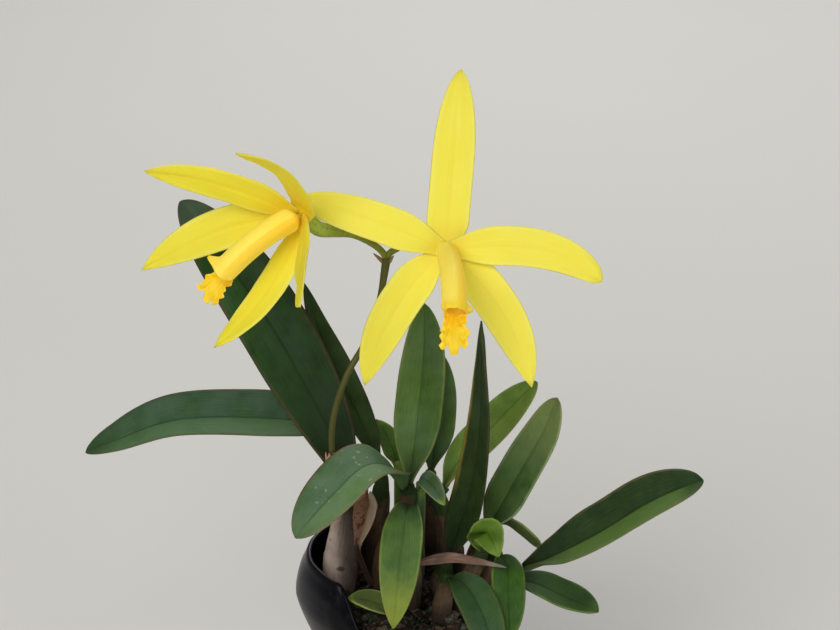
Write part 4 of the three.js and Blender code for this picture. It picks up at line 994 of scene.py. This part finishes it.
STEM_GRID, BRACT_GRID, BRACT_HALF_THICK = (150, 24), (20, 12), 0.14
stem = stalk(Shape(), Line(SCAPE.route), stem_radius, *STEM_GRID)
for ends in SCAPE.bracts:
    thin = paper(BRACT_HALF_THICK)
    blade(stem, bract_surface(ends), thin, thin, *BRACT_GRID, tone=1.0)

def stem_finish(name, low, high, scale):
    pen, where = new_finish(name)
    along, tone = point_values(pen, "along", "tone")
    fleck, streak = between(grain(where, 1400.0, 3.0), 0.5, 0.68), grain(where, 240.0, 3.0, 0.25)
    colour = blend(low, high, between(along + streak * 0.3, 0.2, 1.0))
    colour = blend(colour, "#5A3A20", fleck * 0.3)
    colour = blend(colour, scale, tone)
    return surface_of(pen, colour, 0.45 + 0.2 * streak, streak + 0.4 * fleck, 0.00012, Specular_IOR_Level=0.4)

olive = stem_finish("olive_stem", "#484812", "#4E5018", "#8E7650")
place("forked_stem", stem, olive, "stem", ["flower_stem"])
report("forked_stem")

# %% Spathe, dry sheath and torn sheath
SPATHE = Measures(
    line=Line([(-14.6, -1, 63.6), (-15.2, -0.9, 69), (-15.7, -0.8, 74.4)]),
    half_width=2.9, roll=125, face=np.array([0.6, 0.8, 0]),
)
DRY_SHEATH = Measures(
    line=Line([(1.6, -9.9, 53.3), (8.2, -10.9, 55.2), (14, -11.8, 54.9), (20.4, -12.6, 53.8)]),
    width=2.4, fold=24, face=np.array([0, -0.85, 0.5]),
)
TORN = Measures(
    line=Line([(-7.4, -3.4, 44.5), (-9.4, -4.5, 50.0), (-10.5, -5.1, 54.5), (-9.8, -5.2, 58.6),
               (-9.0, -5.1, 63.3), (-8.3, -4.8, 67.2)]),
    width=4.8, face=np.array([0.1, -0.9, 0.35]),
)

def spathe_surface(u, v):
    """A sheet rolled into a tube that narrows and ends ragged."""
    close = 1 - 0.45 * smooth(u, 0.55, 1)
    half = np.radians(SPATHE.roll) * close
    radius = SPATHE.half_width * close / half + 0.06 * np.sin(7 * v + 4 * u)
    ragged = 0.5 * np.sin(9 * v) * smooth(u, 0.7, 1)
    return SPATHE.line.off(u, SPATHE.face, radius * np.sin(half * v), -radius * np.cos(half * v), ragged)

def dry_surface(u, v):
    """A long pointed bract, arched across its width."""
    fold = math.radians(DRY_SHEATH.fold)
    half = DRY_SHEATH.width / 2 * width_share(u, base=0.35, full=0.3, taper=0.35, tip=1.4, point=0.9)
    lift = -half * v**2 * math.sin(fold) + 0.09 * np.sin(8 * v + 5 * u) * (1 - u)
    return DRY_SHEATH.line.off(u, DRY_SHEATH.face, half * v * math.cos(fold), lift)

def torn_surface(u, v):
    """An old sheath, torn open: narrow at its foot, wide and hollow above, with a ragged end."""
    half = TORN.width / 2 * lerp(0.24, 1, smooth(u, 0.4, 0.85)) * np.sqrt(np.clip((1 - u) / 0.1, 0.03, 1))
    bent = half * (1.1 * v**2 - 0.55) + 0.1 * np.sin(6 * v + 7 * u)
    ragged = 0.8 * np.sin(5 * v + 1) * smooth(u, 0.75, 1)
    return TORN.line.off(u, TORN.face, half * v, bent, ragged)

def paper_finish(name, pale, brown, tip, rim=None, foot=None):
    """Dry papery fibre. A torn sheath also has a pale rim, a dark foot and a scar."""
    pen, where = new_finish(name)
    along, across = point_values(pen, "along", "across")
    fibre = grain(stretched(pen, along * 1.6, across * 14), 2.2, 5.0, 0.25)
    patch = grain(where, 420.0, 4.0, 0.3)
    colour = blend(pale, brown, fibre * 0.55 + patch * 0.35)
    colour = blend(colour, tip, between(along + 0.1 * patch, 0.75, 1.0) * 0.8)
    if rim:
        scar = between(grain(where, 900.0, 2.0), 0.54, 0.64) * between(across, -0.6, -0.2)
        colour = blend(colour, "#5A1E12", scar * 0.85)
        colour = blend(colour, foot, 1 - between(along + 0.08 * patch, 0.42, 0.66))
        pale_rim = between(0.12 * patch - across, 0.42, 0.58) * between(along, 0.4, 0.55)
        colour = blend(colour, rim, pale_rim)
    return surface_of(pen, colour, 0.6 + 0.2 * fibre, fibre + 0.5 * patch, 0.0002, Specular_IOR_Level=0.35)

SHEETS = [
    ("papery_spathe", spathe_surface, 0.24, (40, 44, 1.1), ["spathe"],
     paper_finish("spathe_paper", "#E3B9A4", "#B07F66", "#D99F86")),
    ("dry_front_sheath", dry_surface, 0.24, (70, 20), ["dry_sheath"],
     paper_finish("dry_paper", "#C09A8A", "#7C5546", "#D8C4B4")),
    ("torn_sheath", torn_surface, 0.14, (50, 20), [],
     paper_finish("torn_paper", "#C8A284", "#98684A", "#AC7654", rim="#CDB698", foot="#46301F")),
]
for name, surface, half_thick, grid, nodes, finish in SHEETS:
    sheet = blade(Shape(), surface, paper(half_thick), paper(half_thick), *grid)
    place(name, sheet, finish, "dry_sheath", nodes)
report("papery_spathe", "dry_front_sheath")

# %% [markdown]
# ## Blooms
# A bloom has three sepals behind, two petals before them and a lip. Sepals and petals are thick, waxy and
# lemon yellow, and light goes a little way into them, which is why they seem to glow. Each sets out from
# the middle and bends step by step, so its line is summed up from small steps.

# %% Measures of the blooms
BLOOM = Measures(
    start=1.75, segment_thick=0.6, sepal_level=-0.75, petal_level=0.15,
    column_radius=0.95, column_length=9, column_straight=0.7, ovary_drop=0.8, ovary_straight=1.6,
    stalk_radius=0.72, ovary_radius=1.5, lip_level=0.95, lip_radius=1.6, lip_steps=12,
)
LIP = Measures(
    lobe_roll=40, swell=1.45, swollen=0.55, waist=1.95, lobe=1.05, lobe_starts=0.7, lobe_span=0.36,
    crisp=0.5, crisps=38,
)
KIND_KEYS = "half_width base full taper tip point bow wave".split()
KINDS = {
    "dorsal_sepal": (4.3, 0.6, 0.12, 0.45, 2.2, 0.65, 0.08, 0.15),
    "lateral_sepal": (4.2, 0.37, 0.26, 0.4, 2.4, 0.9, 0.05, 0.15),
    "petal": (4.0, 0.42, 0.3, 0.35, 1.6, 0.6, 0.06, 0.35),
}
KINDS = {kind: dict(zip(KIND_KEYS, row)) for kind, row in KINDS.items()}
BLUNT = dict(tip=2.5, point=0.5)
Segment = namedtuple("Segment", "name kind turn sweep lean length late wide outline", defaults=(1, 1, {}))
Bloom = namedtuple("Bloom", "name hub out up segments lip stalk")
BLOOMS = [
    Bloom(name="front", hub=(7.6, -5, 121), out=(0, -0.93, 0.36), up=(0, 0.2, 1),
          segments=[
              Segment("dorsal_sepal", "dorsal_sepal", 5, 0, (6, -12), 36.5),
              Segment("petal_right", "petal", 84, 54, (18, 2), 33.4, late=1.9, outline=BLUNT),
              Segment("petal_left", "petal", -65, -13, (4, -19), 31.4, outline=BLUNT),
              Segment("lateral_sepal_left", "lateral_sepal", -133, -35, (0, 28), 33),
              Segment("lateral_sepal_right", "lateral_sepal", 129, 40, (10, 12), 33.5),
          ],
          lip=dict(aside=10, turn=-2, droop=(20, 65), length=28.5),
          stalk=[(-3.2, 4.9, 116.9), (1.4, 5.6, 118.8), (5.4, 3.4, 119.6)]),
    Bloom(name="left", hub=(-21.8, -5.8, 128), out=(-0.57, -0.818, 0.073), up=(0.483, -0.262, 0.835),
          segments=[
              Segment("dorsal_sepal", "dorsal_sepal", -6.4, -39.5, (36, 74), 34, wide=0.92),
              Segment("petal_far", "petal", -88, -19.5, (36, 56), 33, wide=0.92),
              Segment("petal_near", "petal", 73.5, 13.5, (51, 53), 33),
              Segment("lateral_sepal_far", "lateral_sepal", -129, -45, (23, 53), 34.5),
              Segment("lateral_sepal_near", "lateral_sepal", 145, 24, (29, 66), 33, wide=0.8),
          ],
          lip=dict(aside=-6.5, turn=5, droop=(21, 74), length=23.8),
          stalk=[(-5.2, 4.6, 117), (-6.6, 4.4, 118.4), (-8.8, 4, 119.9), (-11.6, 2.9, 121.5),
                 (-14.8, 1, 122.7), (-17.9, -1.6, 124.3)]),
]

def bloom_frame(bloom):
    """The bloom's middle, and its own axes: right, up and out."""
    out = unit(np.array(bloom.out, float))
    right = unit(np.cross(np.array(bloom.up, float), out))
    return np.array(bloom.hub, float), np.array([right, np.cross(out, right), out])

# %% Sepal and petal form
WAY_STEPS = 480

def segment_surface(segment, hub, axes):
    shape = {**KINDS[segment.kind], **segment.outline}
    level = BLOOM.petal_level if segment.kind == "petal" else BLOOM.sepal_level
    turn_at = lambda t: np.radians(segment.turn + segment.sweep * t**segment.late)
    lean_at = lambda t: np.radians(lerp(*segment.lean, t))

    def heading(t):
        turn, lean = turn_at(t), lean_at(t)
        return np.stack([np.cos(lean) * np.sin(turn), np.cos(lean) * np.cos(turn), np.sin(lean)], axis=-1)

    start, share = BLOOM.start, np.linspace(0, 1, WAY_STEPS + 1)
    first = np.array([start * math.sin(turn_at(0.0)), start * math.cos(turn_at(0.0)), level])
    strides = heading((np.arange(WAY_STEPS) + 0.5) / WAY_STEPS) * (segment.length - start) / WAY_STEPS
    way = np.vstack([first, first + np.cumsum(strides, axis=0)])
    root = np.array([0, 0, -0.5]) - first
    outline = {key: shape[key] for key in ("base", "full", "taper", "tip", "point")}
    seed = segment.turn

    def surface(u, v):
        middle = np.stack([np.interp(u, share, way[:, k]) for k in range(3)], axis=-1)
        middle = middle + root * (1 - np.minimum(u / 0.04, 1))[..., None] * 0.6
        turn = turn_at(u)
        across = np.stack([-np.cos(turn), np.sin(turn), np.zeros_like(turn)], axis=-1)
        face = np.cross(heading(u), across)
        reach = shape["half_width"] * segment.wide * width_share(u, **outline)
        ripple = shape["wave"] * np.sin(9 * u + 1.6 * v) * smooth(u, 0.15, 0.5) * v * v
        soft = 0.1 * np.sin(5 * v + seed) * np.sin(4 * u + 1) * smooth(u, 0.1, 0.4) * (1 - v**2)
        edge = 0.07 * np.sin(23 * u + seed + 2 * v) * v**4 * smooth(u, 0.2, 0.5)
        lift = reach * shape["bow"] * v * v + ripple + soft + edge
        local = middle + across * (reach * v)[..., None] + face * lift[..., None]
        return hub + local @ axes

    return surface

PETAL_GRID = (84, 40, 1.3)

def segment_blade(segment, hub, axes):
    """A thick waxy blade with a crease above, a keel below and fine veins."""
    crease = -0.1 if segment.kind == "petal" else -0.07
    line = lambda u, v, wide: np.exp(-((v / wide) ** 2)) * np.minimum(4 * (1 - u), 1) * smooth(u, 0.02, 0.15)
    thick = lambda v: lerp(0.3, 0.17, v * v)
    vein = lambda u, v: 0.012 * np.cos(26 * v) * smooth(u, 0.0, 0.2) * (1 - u)
    upper = lambda u, v: thick(v) + crease * line(u, v, 0.13) + vein(u, v)
    lower = lambda u, v: thick(v) + 0.14 * line(u, v, 0.1) + vein(u, v)
    return blade(Shape(), segment_surface(segment, hub, axes), upper, lower, *PETAL_GRID)

# %% Petal finish
def petal_finish(name, lemon, deep, back, heart_and_shade_to=0.16):
    """Waxy lemon yellow: deeper towards the bloom's middle, partly its own colour and partly painted
    shade, painted shade along the middle crease, faint veins along it, a fine sparkle of cells, light inside.
    """
    pen, where = new_finish(name)
    along, across, side = point_values(pen, "along", "across", "side")
    vein = grain(stretched(pen, along * 1.1, across * 12), 2.0, 3.0, 0.3)
    cloud = grain(where, 110.0, 3.0, 0.3)
    colour = blend(lemon, deep, vein * 0.1 + cloud * 0.12)
    # Deeper towards the bloom's middle: partly the petal's own colour, partly painted shade where the
    # segments meet.
    colour = blend(colour, deep, (1 - between(along, 0.0, heart_and_shade_to)) * 0.75)
    # Painted shade along the middle crease.
    fold = 1 - between(abs(across), 0.0, 0.12)
    colour = blend(colour, deep, fold * (1 - between(along, 0.4, 0.95)) * 0.35)
    colour = blend(colour, back, (1 - between(side, -0.2, 0.2)) * 0.5)
    colour = blend(colour, "#FFF27E", between(abs(across) + 0.04 * cloud, 0.72, 0.98) * 0.45)
    colour = blend(colour, "#E3DB55", between(along + 0.03 * cloud, 0.93, 1.0) * 0.5)
    cells = grain(where, 5200.0, 1.0)
    roughness, relief = 0.46 + 0.1 * cloud + 0.06 * cells, 0.25 * vein + 0.1 * cells + 0.4 * cloud
    return surface_of(pen, colour, roughness, relief, 0.00007, Specular_IOR_Level=0.36,
                      Subsurface_Weight=0.35, Subsurface_Radius=(1.0, 0.75, 0.12), Subsurface_Scale=0.0016)

BLOOM_LOOKS = {
    "front": petal_finish("front_lemon", "#FAE94A", "#F1D83C", "#EFE05A"),
    "left": petal_finish("left_lemon", "#F5E63A", "#F2D02A", "#EFDC48", heart_and_shade_to=0.34),
}
for bloom in BLOOMS:
    hub, axes = bloom_frame(bloom)
    for segment in bloom.segments:
        name = f"{bloom.name}_{segment.name}"
        place(name, segment_blade(segment, hub, axes), BLOOM_LOOKS[bloom.name], "petal",
              [f"{segment.name}_{bloom.name}"])
        report(name)

# %% [markdown]
# ## The lip
# The lip is the third petal, made over by nature into a landing place: a tube round the column, an open
# mouth, and a narrow front lobe that is crisped like a frill. It is one sheet, so it is one blade here. The
# frill's waves grow towards the rim, because a frill is a sheet whose rim is too long for its middle.

# %% Lip form
def lip_line(lip):
    """The lip's keel in the bloom's own axes: it droops more and more, and its turn is done halfway."""
    count = BLOOM.lip_steps
    points = [np.array([0, -BLOOM.lip_radius, BLOOM.lip_level], float)]
    for i in range(count):
        share = (i + 0.5) / count
        droop, slant = math.radians(lerp(*lip["droop"], share)), math.radians(lip["aside"] * (1 - share))
        turn = math.radians(lip["turn"] * min(1, 2 * i / count))
        side, down = math.sin(slant) * math.cos(droop), -math.sin(droop)
        heading = np.array([side * math.cos(turn) - down * math.sin(turn),
                            side * math.sin(turn) + down * math.cos(turn), math.cos(slant) * math.cos(droop)])
        points.append(points[-1] + heading * lip["length"] / count)
    return Line(points)

def tube_radius(w):
    """The lip's tube swells from the bloom's middle to its mouth."""
    return BLOOM.lip_radius * lerp(1, LIP.swell, smooth(w, 0, LIP.swollen))

RIM, TUBE_HALF_TURN = 0.69, 184

def lip_surface(lip, hub, axes, seed, flap_at, flap_size, root):
    """Up to the rim the sheet is a closed tube. Past it the sheet narrows and spreads again as a frill."""
    line, sideways = lip_line(lip), np.array([1.0, 0, 0])

    def surface(u, v):
        far = np.abs(v)
        waist = smooth(u, RIM - 0.012, RIM + 0.012 + 0.02 * (1 - far))
        end = 0.935 + 0.065 * (1 - smooth(far, 0.2, 0.36))
        end = end + 0.03 * smooth(far, 0.42, 0.7) - 0.025 * smooth(far, 0.75, 1)
        hood = 0.065 * smooth(far, 0.35, 1) * smooth(u, 0.5, RIM) * (1 - waist)
        w = u * lerp(1, end, smooth(u, RIM, 0.95)) + hood - 0.02 * far * np.sin(np.pi * waist)
        along = line.along(w)
        inward = unit(np.cross(along, sideways))
        half = lerp(TUBE_HALF_TURN, LIP.lobe_roll, waist)
        angle = np.radians(half * v - 18 * smooth(far, 0.3, 1) * (1 - waist))
        on_lobe = np.clip((u - LIP.lobe_starts) / LIP.lobe_span, 0, 1)
        lobe = LIP.waist + lerp(0.45, LIP.lobe, smooth(on_lobe, 0.1, 0.75))
        lobe = lobe * (1 + waist * (0.07 * np.sin(44 * u + seed + v) + 0.05 * np.sin(91 * u + 2 * v)))
        stout = tube_radius(w) + root * (1 - smooth(w, 0, 0.55))
        reach = lerp(stout * np.radians(half), lobe, waist)
        radius = reach / np.radians(half)
        crisp = 0.75 * LIP.crisp * waist * far**1.5 * np.sin(LIP.crisps * u + 2.2 * v)
        crisp = crisp + 0.2 * waist * far**2 * np.sin(83 * u + 4 * v + seed)
        fork = np.exp(-(((far - 0.24) / 0.09) ** 2))
        keel = 0.12 * waist * fork * smooth(u, 0.62, 0.75) * (1 - smooth(u, 0.85, 0.95))
        pucker = 0.1 * waist * np.sin(46 * u + 5 * np.cos(3 * v)) * (1 - far**2)
        at_flap = np.exp(-(((angle - flap_at) / 0.4) ** 2))
        flap = flap_size * at_flap * smooth(u, RIM - 0.09, RIM) ** 2 * (1 - waist)
        wavy = 0.1 * np.sin(7 * angle + seed) * smooth(u, RIM - 0.08, RIM) * (1 - waist)
        inner = radius - crisp - keel - pucker + flap + wavy
        closed = np.sqrt(1 - (1 - np.minimum(u / 0.055, 1)) ** 2)
        centre = line.at(w) + inward * radius[..., None] - along * (1.0 * (1 - closed))[..., None]
        inner = inner * np.maximum(closed, 0.04)
        local = centre + sideways * (inner * np.sin(angle))[..., None]
        return hub + (local - inward * (inner * np.cos(angle))[..., None]) @ axes

    return surface

# %% Lip finish
def lip_finish():
    """Golden yellow: the tube is lemon outside, the frill a deeper gold, with orange veins in the throat.
    The sheet is so thin that light comes through it, and the weak glow stands for that light."""
    pen, where = new_finish("golden_lip")
    along, across, side = point_values(pen, "along", "across", "side")
    vein = grain(stretched(pen, along * 2.0, across * 11), 2.0, 2.0, 0.3)
    cloud = grain(where, 260.0, 3.0, 0.3)
    inside = between(side, -0.2, 0.2)
    colour = blend("#FFE95E", "#FFDC42", vein * 0.2 + cloud * 0.2)
    # Painted shade: a deeper gold on one side of the tube's seam, where one side lobe laps over the other.
    colour = blend(colour, "#FBCB28", between(across, 0.5, 0.72) * 0.6)
    frill = between(along + 0.03 * cloud, 0.62, 0.74)
    colour = blend(colour, "#F2CC08", frill * (0.6 + 0.4 * cloud))
    colour = blend(colour, "#EFBC08", inside * vein * 0.5 * (1 - frill * 0.6))
    throat = frill * (1 - between(along, 0.74, 0.84))
    colour = blend(colour, "#EEB006", throat * inside * 0.5)
    edge = between(abs(across), 0.8, 0.98) * frill
    colour = blend(colour, "#FCDD4A", edge * 0.6)
    relief = 0.18 * vein + 0.5 * cloud + 0.1 * grain(where, 4200.0, 1.0)
    return surface_of(pen, colour, 0.44 + 0.14 * cloud, relief, 0.00007, Specular_IOR_Level=0.3,
                      Emission_Color=colour, Emission_Strength=0.1)

gold = lip_finish()
lip_half = lambda u, v: 0.2 - 0.08 * v**4
LIP_GRID = (220, 80, 1.0)
TUBES = {
    "front": dict(seed=0.0, flap_at=math.radians(75), flap_size=1.5, root=0.3),
    "left": dict(seed=2.0, flap_at=math.radians(-115), flap_size=2.1, root=0.75),
}
for bloom in BLOOMS:
    surface = lip_surface(bloom.lip, *bloom_frame(bloom), **TUBES[bloom.name])
    form = blade(Shape(), surface, lip_half, lip_half, *LIP_GRID)
    place(f"{bloom.name}_lip", form, gold, "lip", [f"lip_{bloom.name}"])
report("front_lip", "left_lip")

# %% [markdown]
# ## Column and ovary
# The column is the bloom's middle, a short club inside the lip's tube with a pale cap at its end. Behind
# the bloom the stalk swells into the ovary, which has six low ribs that will become the seed pod's seams.

# %% Columns
def column_line(lip):
    """From behind the bloom's middle out through the middle of the lip's tube."""
    keel, share = lip_line(lip), BLOOM.column_length / lip["length"]
    inner = []
    for t in (0.35, 0.65, 1.0):
        along = keel.along(np.array([t * share]))[0]
        inward = unit(np.cross(along, (1.0, 0, 0)))
        inner.append(keel.at(np.array([t * share]))[0] + inward * tube_radius(t * share))
    foot = (0, 0, BLOOM.sepal_level - BLOOM.segment_thick / 2)
    return Line([foot, (0, 0, BLOOM.column_straight), *inner])

def column_radius(u, angle):
    cap = 0.1 * smooth(u, 0.8, 0.84) - 0.75 * smooth(u, 0.9, 1.0) ** 2
    return BLOOM.column_radius * (1 - 0.25 * np.sin(np.pi * u)) + cap + 0.03 * np.sin(3 * angle)

def column_finish():
    pen, where = new_finish("pale_column")
    [along], cloud = point_values(pen, "along"), grain(where, 700.0, 3.0, 0.3)
    colour = blend("#EBD64A", "#D9C63A", cloud)
    colour = blend(colour, "#F6EDB4", between(along, 0.8, 0.86))
    return surface_of(pen, colour, 0.4 + 0.1 * cloud, cloud, 0.0001, Subsurface_Weight=0.2,
                      Subsurface_Radius=(1.0, 0.75, 0.2), Subsurface_Scale=0.001)

COLUMN_GRID, OVARY_GRID = (48, 24), (70, 36)
pale = column_finish()
for bloom in BLOOMS:
    hub, axes = bloom_frame(bloom)
    line = column_line(bloom.lip)
    line.knots = hub + line.knots @ axes
    body = stalk(Shape(), line, column_radius, *COLUMN_GRID)
    place(f"{bloom.name}_column", body, pale, "petal", [f"column_{bloom.name}"])
report("front_column", "left_column")

# %% Ovaries
FORK, OVARY_INSET = (-4.2, 4.6, 115.4), 0.04

def ovary_line(bloom):
    """From inside the stem's fork along the stalk to just behind the bloom's middle."""
    out = unit(np.array(bloom.out, float))
    end = np.array(bloom.hub, float) + out * (BLOOM.sepal_level - BLOOM.segment_thick / 2 - 0.3)
    end = end - np.array(bloom.up, float) * BLOOM.ovary_drop
    return Line([FORK, *bloom.stalk, end - out * BLOOM.ovary_straight, end])

def ovary_radius(u, angle):
    plain = lerp(BLOOM.stalk_radius, BLOOM.ovary_radius, smooth(u, 0.3, 0.75))
    return plain * (1 + 0.055 * smooth(u, 0.35, 0.7) * np.cos(6 * angle + 2.5 * u)) - OVARY_INSET

for bloom in BLOOMS:
    finish = stem_finish(f"{bloom.name}_ovary_green", "#7C8424", "#A9BC38", "#A9BC38")
    body = stalk(Shape(), ovary_line(bloom), ovary_radius, *OVARY_GRID)
    place(f"{bloom.name}_ovary", body, finish, "stem", [f"ovary_{bloom.name}"])
report("front_ovary", "left_ovary")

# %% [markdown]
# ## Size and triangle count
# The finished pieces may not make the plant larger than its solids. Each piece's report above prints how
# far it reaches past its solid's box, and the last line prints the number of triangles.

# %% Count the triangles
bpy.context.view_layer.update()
print("triangles:", sum(count for count, _ in made_faces.values()))
